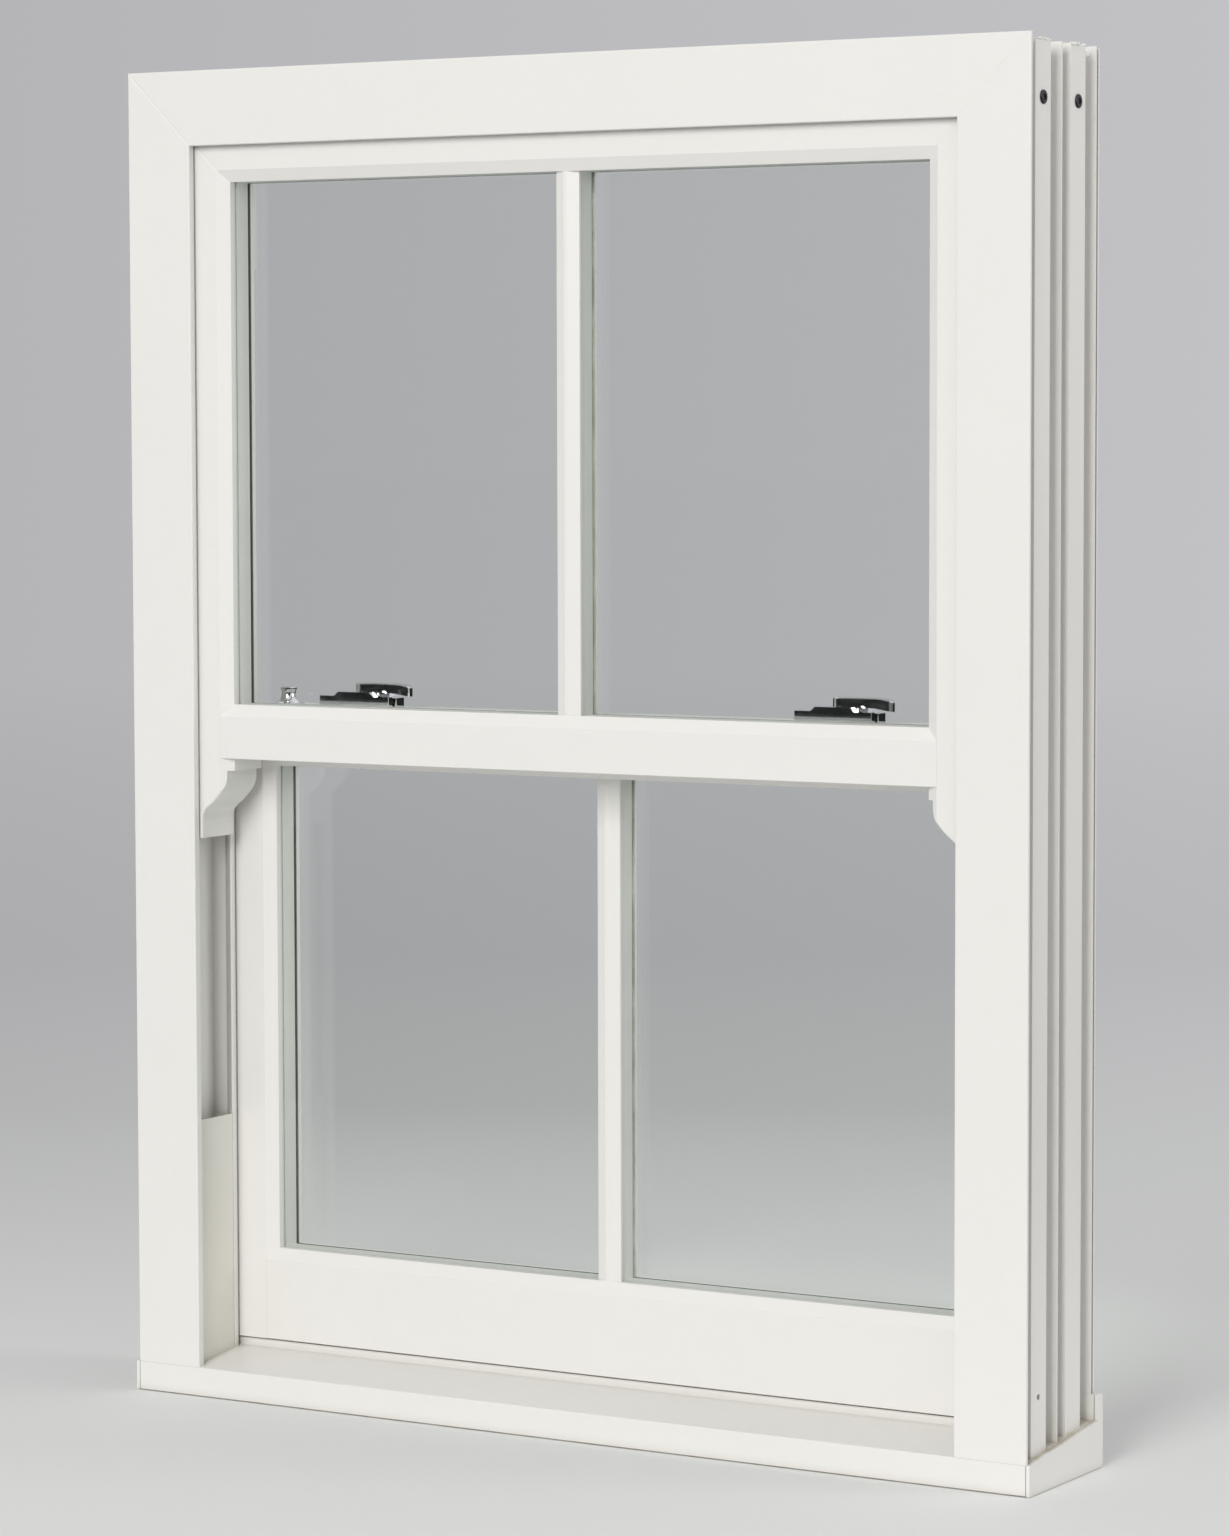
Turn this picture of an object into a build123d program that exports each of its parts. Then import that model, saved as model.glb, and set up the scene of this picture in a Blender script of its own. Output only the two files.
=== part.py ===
from build123d import *
import os
from math import sqrt

# White plastic vertical sliding sash window, seen from outside, in millimetres.
# X runs along the sill, Y from the outside to the room, Z up from the sill's underside.
# The drawing's Y starts at the frame's outside face; written parts are centred on the sill.

# Outer frame
frame_width = 850.0
frame_height = 1128.0
frame_face = 63.0            # outside face of jamb and head
lip_depth = 6.5              # thickness of the lip that covers the sash edge
flange = 3.0                 # single outside skin beyond the track
wall = 2.4                   # walls of the frame extrusion
track_floor = 26.5           # lip's inner edge to the track's floor
web_recess = 4.0             # balance channels' outer webs, set back from the face's edge
back_recess = 5.0            # room-side leg, set back from the face's edge
channel_front = 16.2         # first balance channel, from the outside face
channel_width = 26.7
channel_wall = 2.0
channel_mouth = 11.0
stop_tip = 6.5               # parting stop's tip, set back from the lip's edge
stop_thickness = 6.0
fin_thickness = 1.6
weld_width = 2.4             # cleaned groove along a mitre
weld_depth = 0.35
seam_width = 0.8             # bevelled edges where a rail butts a stile
edge_round = 1.0
leg_thickness = 2.4

# Sill
sill_nose = 24.7
sill_rise = 14.9             # rise of the sloping top over the whole depth
sill_wall = 2.6
upstand_height = 59.0
upstand_thickness = 9.0
cap_thickness = 3.0
bar_setback = 1.5            # weather bar's front behind the inner sash's face
bar_top = 39.3
drain_radius = 2.5
drain_height = 73.0

# Sashes
sash_setback = 9.5           # outer sash's face behind the frame's face
sash_depth = 50.0
sash_gap = 11.5              # outer sash's back to the inner sash's face
room_gap = 2.0               # inner sash's back to the sill's upstand
brush_gap = 2.5              # outer sash's back to the parting stop
stile_face = 43.0            # glass line to the stile's edge
cover_leg = 12.5             # thin leg that closes the track on the room side
cover_leg_thickness = 4.0
bevel_width = 10.0
bevel_depth = 6.4
glass_leg = 11.5             # outside leg that the glass beds against
rebate = 15.0                # glass line to the rebate's floor
sash_wall = 2.5
glass_inset = 31.0           # glass line in from the lip's inner edge, at the jambs
glass_drop = 30.5            # glass line below the head's lip
meeting_level = 594.0        # glass line of the outer sash's meeting rail
meeting_rail = 46.0
bottom_rail = 79.2
sash_bottom = 40.5
inner_sash_drop = 3.5        # inner sash's top below the meeting level
inner_top_rail_height = 52.2
horn_drop = 68.6
horn_depth = 46.0
horn_tip = 13.0              # width of the horn's foot
horn_nose = 10.5             # height of the horn's nose
horn_quirk = 5.5             # step behind the nose
horn_neck = 5.5              # straight below the step
horn_foot = 15.0             # straight above the foot
horn_round = 2.0
horn_curve = ((0.27, 0.40), (0.68, 0.65))   # ogee's points, as shares of its width and fall

# Glass units and bars
pane = 4.0
cavity = 16.0
glass_cover = 12.0
gasket = 2.0
bead_gasket = 1.5
spacer_face = 8.5
spacer_bar_half = 9.5
glazing_bar_half = 10.8
glazing_bar_side = 3.0
glazing_bar_rise = 4.1
glazing_bar_flat = 1.5
bead_nose = 5.0
bead_slope = 7.0

# Meeting rail interlock
interlock_wall = 1.2
ledge_depth = 6.5
ledge_top = 2.0              # below the glass line
hook_reach = 4.3
hook_height = 10.0
catch_height = 12.0
catch_reach = 3.8
catch_drop = 18.5            # catch's top, below the inner sash's top

# Track covers
cover_skin = 2.0
outer_cover_top = 236.0
inner_cover_length = 128.5   # from the head down
inner_cover_depth = 43.4
brush_width = 4.0
brush_root = 1.5

# Balances
tube_radius = 7.5
tube_bore = 5.5
tube_drop = 5.5              # tube's top below the track's end in the head
tube_gap = 42.0              # outer shoe's top to the tube's foot
rod_radius = 2.5
rod_overlap = 60.0           # rod still in its tube when fully drawn
outer_travel = 240.0
bush_length = 10.0
shoe_length = 40.0
shoe_clearance = 0.6
pivot_rise = 14.0            # outer pivot above its rail's lower edge
inner_pivot_rise = 25.5      # inner pivot above the sash's bottom
pivot_radius = 4.0
pivot_inset = 12.0           # pivot bar's end inside the stile
screw_drop = 48.3            # balance screws below the frame's top
screw_shank = 2.0
screw_head = 5.5
screw_head_height = 1.4

# Fasteners on the inner sash's top rail
fastener_insets = (137.5, 150.7)   # left and right, from the stile's edge
fastener_half = 35.1
fastener_end = 13.0          # depth of the housing's ends
fastener_setback = 0.8
fastener_height = 9.6
boss_rise = 3.6
boss_half = 15.9
boss_foot_half = 20.0
cam_radius = 19.7
cam_cover = 2.3              # housing beyond the cam, at the back
cam_thickness = 3.0
cam_level = 3.7
spindle_radius = 4.0
spindle_setback = 11.2       # spindle's axis behind the housing's front
lever_length = 43.4
lever_eye = 10.4
lever_thickness = 7.9
lever_tip_drop = 2.8
lever_tip_half = 5.5
lever_edge = 0.8
fastener_screw_place = 28.0
fastener_screw_head = 3.2
fastener_screw_shank = 1.6
fastener_screw_length = 12.0
keep_depth = 7.0
keep_height = 9.3
keep_skin = 1.6
keep_mouth_half = 14.0
keep_mouth_height = 6.4
keep_screw_head = 2.2
keep_screw_shank = 1.1

# Tilt latches
knob_inset = 49.4            # from the stile's edge
knob_radius = 13.9
knob_neck = 5.9
knob_top = 7.0
knob_height = 15.0
knob_rim = 1.2               # edge of its foot
knob_waist = 10.5            # height of the neck's narrowest part
knob_lip = 1.6
knob_edge = 0.7
latch_travel = 12.0
latch_engage = 5.5           # bolt's reach past the track's floor
bolt_height = 8.0
bolt_width = 9.0
bolt_length = 80.0
bolt_drop = 14.0
stem_radius = 3.0
thumb_inset = 74.0
thumb_reach = 4.5

# Fits
seat = 0.3                   # gap of a piece that only rests in its place
running = 0.3
clear_fit = 0.05             # screws in their holes

# Derived places
track_pitch = sash_depth + sash_gap
frame_depth = sash_setback + track_pitch + sash_depth + room_gap + upstand_thickness
lip_edge = frame_width / 2 - frame_face
floor_x = lip_edge + track_floor
web_x = frame_width / 2 - web_recess
tip_x = lip_edge + stop_tip
glass_half = lip_edge - glass_inset
stile_edge = glass_half + stile_face
seam_x = glass_half + bevel_width
stop_front = sash_setback + sash_depth + brush_gap
stop_back = stop_front + stop_thickness
channel_fronts = (channel_front, channel_front + track_pitch)
channel_middle = channel_width / 2
head_floor = frame_height - frame_face + track_floor
sash_fronts = (sash_setback, sash_setback + track_pitch)
bar_front = sash_fronts[1] + bar_setback
outer_glass_low = meeting_level
outer_glass_high = frame_height - frame_face - glass_drop
outer_rail_low = meeting_level - meeting_rail
inner_sash_top = meeting_level - inner_sash_drop
inner_glass_high = inner_sash_top - inner_top_rail_height
inner_glass_low = sash_bottom + bottom_rail
horn_low = outer_rail_low - horn_drop
inner_cover_foot = head_floor - inner_cover_length
outer_pivot_height = outer_rail_low + pivot_rise
inner_pivot_height = sash_bottom + inner_pivot_rise
tube_top = head_floor - tube_drop
tube_foot = outer_pivot_height + shoe_length / 2 + tube_gap
outer_rod_length = tube_gap + outer_travel + rod_overlap
inner_rod_length = tube_foot - inner_pivot_height - shoe_length / 2 + rod_overlap
screw_height = frame_height - screw_drop
fastener_places = (fastener_insets[0] - stile_edge, stile_edge - fastener_insets[1])
knob_place = stile_edge - knob_inset
thumb_place = stile_edge - thumb_inset
spindle_y = sash_setback + track_pitch + fastener_setback + spindle_setback
boss_height = fastener_height + boss_rise
glass_front = glass_leg + gasket
glass_back = glass_front + 2 * pane + cavity
bead_front = glass_back + bead_gasket
wide = frame_width           # longer than any cut needs


def shape(*points):
    return make_face(Polyline(*points, close=True))


def rect(x0, x1, y0, y1):
    return Pos((x0 + x1) / 2, (y0 + y1) / 2) * Rectangle(x1 - x0, y1 - y0)


def block(x0, x1, y0, y1, z0, z1):
    return Pos(x0, y0, z0) * Box(x1 - x0, y1 - y0, z1 - z0, align=(Align.MIN,) * 3)


def rounded(section, radius, *points):
    """Rounds the section's corners nearest to the given points."""
    corners = [min(section.vertices(), key=lambda v: (v.X - x) ** 2 + (v.Y - y) ** 2) for x, y in points]
    return fillet(corners, radius)


def rod(radius, start, end, axis):
    """Round bar from start to end along X, Y or Z."""
    long = end["XYZ".index(axis)] - start["XYZ".index(axis)]
    turn = {"X": Rot(0, 90, 0), "Y": Rot(-90, 0, 0), "Z": Rot(0, 0, 0)}[axis]
    bar = Cylinder(radius, abs(long), align=(Align.CENTER, Align.CENTER, Align.MIN))
    first = start if long > 0 else end
    return Pos(*first) * turn * bar


def side_hole(radius, start, y, z):
    """Tool for a hole along X, from start out past the frame."""
    return rod(radius, (start, y, z), (wide, y, z), "X")


def flip(solid):
    return mirror(solid, about=Plane.YZ)


def both_sides(solid):
    return [solid, flip(solid)]


def cut_both(solid, tool):
    """Takes the tool and its mirror image from a solid."""
    return solid - tool - flip(tool)


def upright(section, at_x, low, high, y=0.0):
    """Member on the right; the section's x is the distance outward from at_x."""
    return Pos(at_x, y, low) * extrude(section, high - low)


def level(section, at_z, half_run, outward, y=0.0):
    """Member along X; the section's x runs up from at_z, or down where outward is -1."""
    run = extrude(section, half_run, both=True)
    return Pos(0, y, at_z) * Rot(0, -90 * outward, 0) * run


def corner_plane(x, z, up):
    """45-degree plane through an outer corner; its normal points to the upright member."""
    return Plane(origin=(x, 0, z), z_dir=(1, 0, -up))


def mitred_upright(section, at_x, corner_x, low, high, y=0.0, low_mitre=False):
    bar = upright(section, at_x, low, high, y)
    bar = split(bar, bisect_by=corner_plane(corner_x, high, 1), keep=Keep.TOP)
    if low_mitre:
        bar = split(bar, bisect_by=corner_plane(corner_x, low, -1), keep=Keep.TOP)
    return bar


def mitred_level(section, at_z, corner_x, corner_z, outward, y=0.0):
    bar = level(section, at_z, corner_x, outward, y)
    bar = split(bar, bisect_by=corner_plane(corner_x, corner_z, outward), keep=Keep.BOTTOM)
    mirrored = Plane(origin=(-corner_x, 0, corner_z), z_dir=(-1, 0, -outward))
    return split(bar, bisect_by=mirrored, keep=Keep.BOTTOM)


def groove(width, depth, run, turn):
    """Shallow V cut in a face at y = 0; turned from Z towards X."""
    half = width / 2
    section = shape((-half, -wall), (half, -wall), (half, 0), (0, depth), (-half, 0))
    return Rot(0, turn, 0) * Pos(0, 0, -wall) * extrude(section, run + wall)


def weld_groove(x, z, face, y):
    """Cleaned weld on the outside face, from an upper corner inward along its mitre."""
    return Pos(x, y, z) * groove(weld_width, weld_depth, face * sqrt(2), -135)


def seam_groove(glass_line, span, outward, y):
    """Bevelled edges of the joint between a rail and a stile, below or above the glass line."""
    turn = 0 if outward > 0 else 180
    start = Pos(seam_x, y, glass_line + outward * bevel_width)
    return start * groove(seam_width, seam_width / 2, span - bevel_width + wall, turn)


def sill_level(y):
    return sill_nose + sill_rise * y / frame_depth


def frame_section():
    """Extrusion of jambs and head; x = 0 is the lip's inner edge."""
    full = frame_face
    web = full - web_recess
    floor = track_floor
    section = rect(0, full, 0, flange) + rect(0, floor + wall, 0, lip_depth)
    section += rect(floor, floor + wall, 0, frame_depth)
    section += rect(floor, full - back_recess, frame_depth - leg_thickness, frame_depth)
    for front in channel_fronts:
        back = front + channel_width
        section += rect(floor, web, front, front + channel_wall)
        section += rect(floor, web, back - channel_wall, back)
        section += rect(web - channel_wall, web, front, back)
    fin_back = stop_front + fin_thickness
    section += rect(floor, web, stop_front, fin_back)
    section += rect(floor, web, stop_front + track_pitch, fin_back + track_pitch)
    section += rect(stop_tip, floor, stop_front, stop_back)
    section -= rect(wall, floor, channel_wall, lip_depth - channel_wall)
    section -= rect(stop_tip + wall, floor, stop_front + fin_thickness, stop_back - fin_thickness)
    for front in channel_fronts:
        middle = front + channel_middle
        low, high = middle - channel_mouth / 2, middle + channel_mouth / 2
        section -= rect(floor - wall, floor + 2 * wall, low, high)
    corners = [(0, 0), (full, 0), (stop_tip, stop_front), (stop_tip, stop_back)]
    return rounded(section, edge_round, *corners)


def sill_outline(top_extra=0.0):
    back = frame_depth - upstand_thickness
    return shape((0, 0), (frame_depth, 0), (frame_depth, upstand_height + top_extra),
                 (back, upstand_height + top_extra), (back, sill_level(back)), (0, sill_nose))


def along_x(section, x0, x1):
    """Extrudes a section drawn as (Y, Z) from x0 to x1."""
    return Pos(x0, 0, 0) * (Plane.YZ * extrude(section, x1 - x0))


def sill():
    section = sill_outline()
    thirds = [sill_wall, frame_depth / 3, 2 * frame_depth / 3, frame_depth - upstand_thickness]
    for low, high in zip(thirds, thirds[1:]):
        front, back = low + (sill_wall if low > sill_wall else 0.0), high
        section -= shape((front, sill_wall), (back, sill_wall), (back, sill_level(back) - sill_wall),
                         (front, sill_level(front) - sill_wall))
    back = frame_depth - upstand_thickness
    section -= rect(back + sill_wall, frame_depth - sill_wall, sill_wall, upstand_height - sill_wall)
    section = rounded(section, edge_round, (0, sill_nose), (0, 0))
    return along_x(section, -frame_width / 2, frame_width / 2)


def sill_end_cap():
    section = rounded(sill_outline(seat), edge_round, (0, sill_nose), (frame_depth, upstand_height))
    return along_x(section, frame_width / 2, frame_width / 2 + cap_thickness)


def sill_space():
    return along_x(sill_outline(), -wide, wide)


def jamb():
    bar = mitred_upright(frame_section(), lip_edge, frame_width / 2, 0, frame_height)
    bar -= sill_space()
    bar -= weld_groove(frame_width / 2, frame_height, frame_face, 0)
    for front in channel_fronts:
        bar -= side_hole(screw_shank + clear_fit, web_x - channel_width, front + channel_middle, screw_height)
    return bar - side_hole(drain_radius, web_x - wall, channel_front + channel_middle, drain_height)


def head():
    lip_z = frame_height - frame_face
    bar = mitred_level(frame_section(), lip_z, frame_width / 2, frame_height, 1)
    return cut_both(bar, weld_groove(frame_width / 2, frame_height, frame_face, 0))


def weather_bar():
    """Wedge on the sloping sill, under the inner sash."""
    back = frame_depth - upstand_thickness - seat
    middle = sash_fronts[1] + sash_depth / 2
    section = shape((bar_front, sill_level(bar_front)), (back, sill_level(back)), (back, bar_top),
                    (bar_front + edge_round, bar_top), (bar_front, bar_top - edge_round))
    half = brush_width / 2
    section -= rect(middle - half, middle + half, bar_top - brush_root, bar_top + wall)
    return along_x(section, -floor_x + seat, floor_x - seat)


def outer_cover():
    """Channel trim that closes the outer track below the outer sash."""
    low, high = lip_depth + seat, stop_front - seat
    section = cover_section(low, high)
    return upright(section, tip_x, 0, outer_cover_top) - sill_space()


def inner_cover():
    """The same trim at the top of the inner track."""
    low = stop_back + seat
    section = cover_section(low, low + inner_cover_depth)
    return upright(section, tip_x, inner_cover_foot, head_floor - seat)


def cover_section(low, high):
    deep = floor_x - tip_x
    section = rect(0, deep, low, high) - rect(cover_skin, deep + wall, low + cover_skin, high - cover_skin)
    return rounded(section, edge_round, (0, low), (0, high))


def brushes():
    """Pile seals: behind the lip, both sides of the parting stop, and in the weather bar."""
    lip_pile = sash_fronts[0] - lip_depth - seat
    stop_pile = stop_front - sash_fronts[0] - sash_depth - seat
    strips = []
    for y0, y1 in ((lip_depth, lip_depth + lip_pile), (stop_front - stop_pile, stop_front),
                   (stop_back, stop_back + stop_pile)):
        pile_x = (tip_x + stile_edge) / 2
        section = rect(pile_x - brush_root, pile_x + brush_root, y0, y1)
        low = sill_level(y1) + seat
        if y0 < stop_front:
            low = outer_cover_top + seat
        high = head_floor - seat if y0 < stop_back else inner_cover_foot - seat
        strips += both_sides(upright(section, 0, low, high))
    middle = sash_fronts[1] + sash_depth / 2
    strip = block(-floor_x + seat, floor_x - seat, middle - brush_width / 2, middle + brush_width / 2,
                  bar_top - brush_root, sash_bottom - seat)
    return strips + [strip]


def sash_section(span=stile_face, leg=cover_leg):
    """Extrusion of a sash member; x = 0 is the glass line, y = 0 the outside face."""
    hollow_back = sash_depth - sash_wall
    points = [(0, bevel_depth), (bevel_width, 0), (span, 0)]
    if leg:
        points += [(span, sash_depth - cover_leg_thickness), (span + leg, sash_depth - cover_leg_thickness),
                   (span + leg, sash_depth)]
    else:
        points += [(span, sash_depth)]
    points += [(rebate, sash_depth), (rebate, glass_leg), (0, glass_leg)]
    nose = bevel_width + sash_wall / 2
    hollow = shape((nose, sash_wall), (span - sash_wall, sash_wall), (span - sash_wall, hollow_back),
                   (rebate + sash_wall, hollow_back), (rebate + sash_wall, glass_leg - sash_wall),
                   (sash_wall, glass_leg - sash_wall), (sash_wall, bevel_depth + sash_wall / 2))
    section = shape(*points) - hollow
    return rounded(section, edge_round, (span, 0), (bevel_width, 0))


def horn_outline():
    """Side of the horn in X and Z: a nose, a quirk and a long ogee."""
    top = outer_rail_low
    foot = stile_edge - horn_tip
    quirk = glass_half + horn_quirk
    start, end = top - horn_nose - horn_neck, horn_low + horn_foot
    ogee = [(quirk + across * (foot - quirk), start + down * (end - start)) for across, down in horn_curve]
    return make_face([
        Polyline((stile_edge, top), (glass_half, top), (glass_half, top - horn_nose),
                 (quirk, top - horn_nose), (quirk, start)),
        Spline((quirk, start), *ogee, (foot, end), tangents=[(0, -1), (0, -1)]),
        Polyline((foot, end), (foot, horn_low), (stile_edge, horn_low), (stile_edge, top)),
    ])


def horn():
    """Solid horn with the stile's own bevel across its nose and a rounded front edge."""
    y = sash_fronts[0]
    body = along_y(horn_outline(), y, y + horn_depth)
    high = outer_rail_low - horn_nose - horn_neck / 2
    front = body.edges().group_by(Axis.Y)[0].filter_by(lambda edge: edge.center().X < stile_edge - horn_round)
    body = fillet(front.filter_by(lambda edge: horn_low + horn_round < edge.center().Z < high), horn_round)
    bevelled = sash_section(leg=0).faces()[0].without_holes() + rect(0, stile_face, glass_leg, sash_depth)
    return body & upright(bevelled, glass_half, horn_low, outer_rail_low, y)


def along_y(section, y0, y1):
    """Extrudes a section drawn as (X, Z) from y0 to y1."""
    return Pos(0, y1, 0) * Rot(90, 0, 0) * extrude(section, y1 - y0)


def seam_cut(glass_low, low, y):
    """Space that a rail's end takes from the stile: a square butt with a mitred bevel."""
    cut = shape((glass_half - rebate, low - wall), (seam_x, low - wall), (seam_x, glass_low - bevel_width),
                (glass_half, glass_low), (glass_half - rebate, glass_low))
    return along_y(cut, y - wall, y + sash_depth + wall)


def seam_cut_above(glass_high, high, y):
    cut = shape((glass_half - rebate, high + wall), (seam_x, high + wall),
                (seam_x, glass_high + bevel_width), (glass_half, glass_high),
                (glass_half - rebate, glass_high))
    return along_y(cut, y - wall, y + sash_depth + wall)


def rail(glass_line, span, outward, y):
    """Rail between two stiles, its bevel mitred to theirs."""
    section = sash_section(span, 0)
    bar = level(section, glass_line, seam_x, outward, y)
    reach = rebate
    for side in (1, -1):
        cut = shape((side * (glass_half - reach), glass_line - outward * reach),
                    (side * (seam_x + reach), glass_line - outward * reach),
                    (side * (seam_x + reach), glass_line + outward * (bevel_width + reach)),
                    (side * seam_x, glass_line + outward * bevel_width),
                    (side * glass_half, glass_line),
                    (side * (glass_half - reach), glass_line))
        bar -= along_y(cut, y - wall, y + sash_depth + wall)
    return cut_both(bar, seam_groove(glass_line, span, outward, y))


def outer_stile():
    """Stile of the outer sash, mitred at the top, with its horn run through below."""
    y = sash_fronts[0]
    corner_x = stile_edge + cover_leg
    corner_z = outer_glass_high + stile_face + cover_leg
    bar = upright(sash_section(), glass_half, outer_rail_low, corner_z, y)
    bar -= seam_cut(outer_glass_low, outer_rail_low, y)
    bar += horn()
    bar -= seam_groove(outer_glass_low, meeting_rail, -1, y)
    bar -= weld_groove(stile_edge, outer_glass_high + stile_face, stile_face - bevel_width, y)
    bar = split(bar, bisect_by=corner_plane(corner_x, corner_z, 1), keep=Keep.TOP)
    bar -= pivot_hole(0, outer_pivot_height)
    return bar - outer_latch_space()


def inner_stile():
    """Stile of the inner sash, closed at both ends."""
    y = sash_fronts[1]
    section = sash_section()
    outline = section.faces()[0].without_holes() if section.faces()[0].inner_wires() else section
    bar = upright(section, glass_half, sash_bottom, inner_sash_top, y)
    for low in (sash_bottom, inner_sash_top - sash_wall):
        bar += upright(outline, glass_half, low, low + sash_wall, y)
    bar -= seam_cut(inner_glass_low, sash_bottom, y)
    bar -= seam_cut_above(inner_glass_high, inner_sash_top, y)
    bar -= seam_groove(inner_glass_low, bottom_rail, -1, y)
    bar -= seam_groove(inner_glass_high, inner_top_rail_height, 1, y)
    bar -= pivot_hole(1, inner_pivot_height)
    return bar - inner_latch_space()


def pivot_hole(track, height):
    y = channel_fronts[track] + channel_middle
    start = stile_edge - pivot_inset - seat
    return rod(pivot_radius + clear_fit, (start, y, height), (wide, y, height), "X")


def outer_top_rail():
    y = sash_fronts[0]
    corner_x = stile_edge + cover_leg
    corner_z = outer_glass_high + stile_face + cover_leg
    bar = mitred_level(sash_section(), outer_glass_high, corner_x, corner_z, 1, y)
    bar = cut_both(bar, weld_groove(stile_edge, outer_glass_high + stile_face, stile_face - bevel_width, y))
    return cut_both(bar, outer_latch_space())


def inner_top_rail():
    bar = rail(inner_glass_high, inner_sash_top - inner_glass_high, 1, sash_fronts[1])
    bar = cut_both(bar, inner_latch_space())
    for x, y in fastener_screw_places():
        hole = rod(fastener_screw_shank + clear_fit, (x, y, inner_sash_top - fastener_screw_length),
                   (x, y, inner_sash_top + wall), "Z")
        bar -= hole
    return bar


def outer_interlock():
    """Hollow clip-on section behind the outer sash's meeting rail, with an upturned hook."""
    y0 = sash_fronts[0] + sash_depth
    y1 = y0 + ledge_depth
    top = outer_glass_low - ledge_top
    low = outer_rail_low + interlock_wall
    section = rect(y0, y1, low, top) - rect(y0 + interlock_wall, y1 - interlock_wall, low + interlock_wall,
                                            top - interlock_wall)
    section += rect(y1 - interlock_wall, y1 + hook_reach, low, low + interlock_wall)
    section += rect(y1 + hook_reach - interlock_wall, y1 + hook_reach, low, low + hook_height)
    bar = along_x(section, -tip_x + wall, tip_x - wall)
    for x, y in keep_screw_places():
        bar -= rod(keep_screw_shank + clear_fit, (x, y, top - 2 * wall), (x, y, top + wall), "Z")
    return bar


def inner_interlock():
    """Clip-on strip on the inner sash's top rail, with a downturned catch."""
    y1 = sash_fronts[1]
    y0 = y1 - catch_reach
    top = inner_sash_top - catch_drop
    section = rect(y0, y1, top - interlock_wall, top)
    section += rect(y0, y0 + interlock_wall, top - catch_height, top)
    return along_x(section, -tip_x + wall, tip_x - wall)


def bead_section():
    return shape((0, bead_front), (rebate, bead_front), (rebate, sash_depth), (bead_slope, sash_depth),
                 (0, bead_front + bead_nose))


def beads(low, high, y):
    """Glazing beads on the room side, mitred at the corners."""
    corner = glass_half + rebate
    side = mitred_upright(bead_section(), glass_half, corner, low - rebate, high + rebate, y, True)
    top = mitred_level(bead_section(), high, corner, high + rebate, 1, y)
    bottom = mitred_level(bead_section(), low, corner, low - rebate, -1, y)
    return {"left": flip(side), "right": side, "top": top, "bottom": bottom}


def glass(low, high, y0):
    reach = glass_half + glass_cover
    return block(-reach, reach, y0, y0 + pane, low - glass_cover, high + glass_cover)


def loop(inner_half, low, high, face, y0, y1):
    """Rectangular ring round the glass line."""
    outer = block(-inner_half - face, inner_half + face, y0, y1, low - face, high + face)
    return outer - block(-inner_half, inner_half, y0 - wall, y1 + wall, low, high)


def spacer(low, high, y):
    """Spacer round the cavity, with its upright bar behind the glazing bar."""
    y0 = y + glass_front + pane
    ring = loop(glass_half, low, high, spacer_face, y0, y0 + cavity)
    return ring + block(-spacer_bar_half, spacer_bar_half, y0, y0 + cavity, low, high)


def gaskets(low, high, y):
    outside = loop(glass_half, low, high, gasket + 1, y + glass_leg, y + glass_front)
    inside = loop(glass_half, low, high, gasket + 1, y + glass_back, y + bead_front)
    return [outside, inside]


def glazing_bar(low, high, glass_y, outward):
    """Astragal bar stuck to one face of the unit; outward is its direction in Y."""
    side = glass_y + outward * glazing_bar_side
    ridge = side + outward * glazing_bar_rise
    section = shape((-glazing_bar_half, glass_y), (-glazing_bar_half, side), (-glazing_bar_flat, ridge),
                    (glazing_bar_flat, ridge), (glazing_bar_half, side), (glazing_bar_half, glass_y))
    return upright(section, 0, low, high)


def balance_tubes():
    tubes = []
    for front in channel_fronts:
        x, y = channel_centre(front)
        tube = rod(tube_radius, (x, y, tube_foot), (x, y, tube_top), "Z")
        tube -= rod(tube_bore, (x, y, tube_foot - 1), (x, y, tube_top - 2 * wall), "Z")
        tube -= side_hole(screw_shank + clear_fit, x - 2 * tube_radius, y, screw_height)
        tubes += both_sides(tube)
    return tubes


def channel_centre(front):
    return (floor_x + wall + web_x - channel_wall) / 2, front + channel_middle


def balance_bushes():
    """Guide at the foot of each tube, which the rod runs through."""
    bushes = []
    for front in channel_fronts:
        x, y = channel_centre(front)
        bush = rod(tube_bore, (x, y, tube_foot), (x, y, tube_foot + bush_length), "Z")
        bush += rod(tube_radius, (x, y, tube_foot - wall), (x, y, tube_foot), "Z")
        bush -= rod(rod_radius + running, (x, y, tube_foot - 2 * wall), (x, y, tube_top), "Z")
        bushes += both_sides(bush)
    return bushes


def balance_screws():
    """Screws through the jamb's webs into the top of each tube."""
    screws = []
    for front in channel_fronts:
        x, y = channel_centre(front)
        screw = rod(screw_shank, (x, y, screw_height), (web_x, y, screw_height), "X")
        cap = rod(screw_head, (web_x, y, screw_height), (web_x + screw_head_height, y, screw_height), "X")
        rim = cap.edges().filter_by(GeomType.CIRCLE).sort_by(Axis.X)[-1]
        cap = fillet(rim, screw_head_height / 2)
        recess = extrude(RegularPolygon(screw_head / 2, 6), screw_head_height)
        cap -= Pos(web_x + screw_head_height / 2, y, screw_height) * Rot(0, 90, 0) * recess
        screws += both_sides(screw + cap)
    return screws


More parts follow.
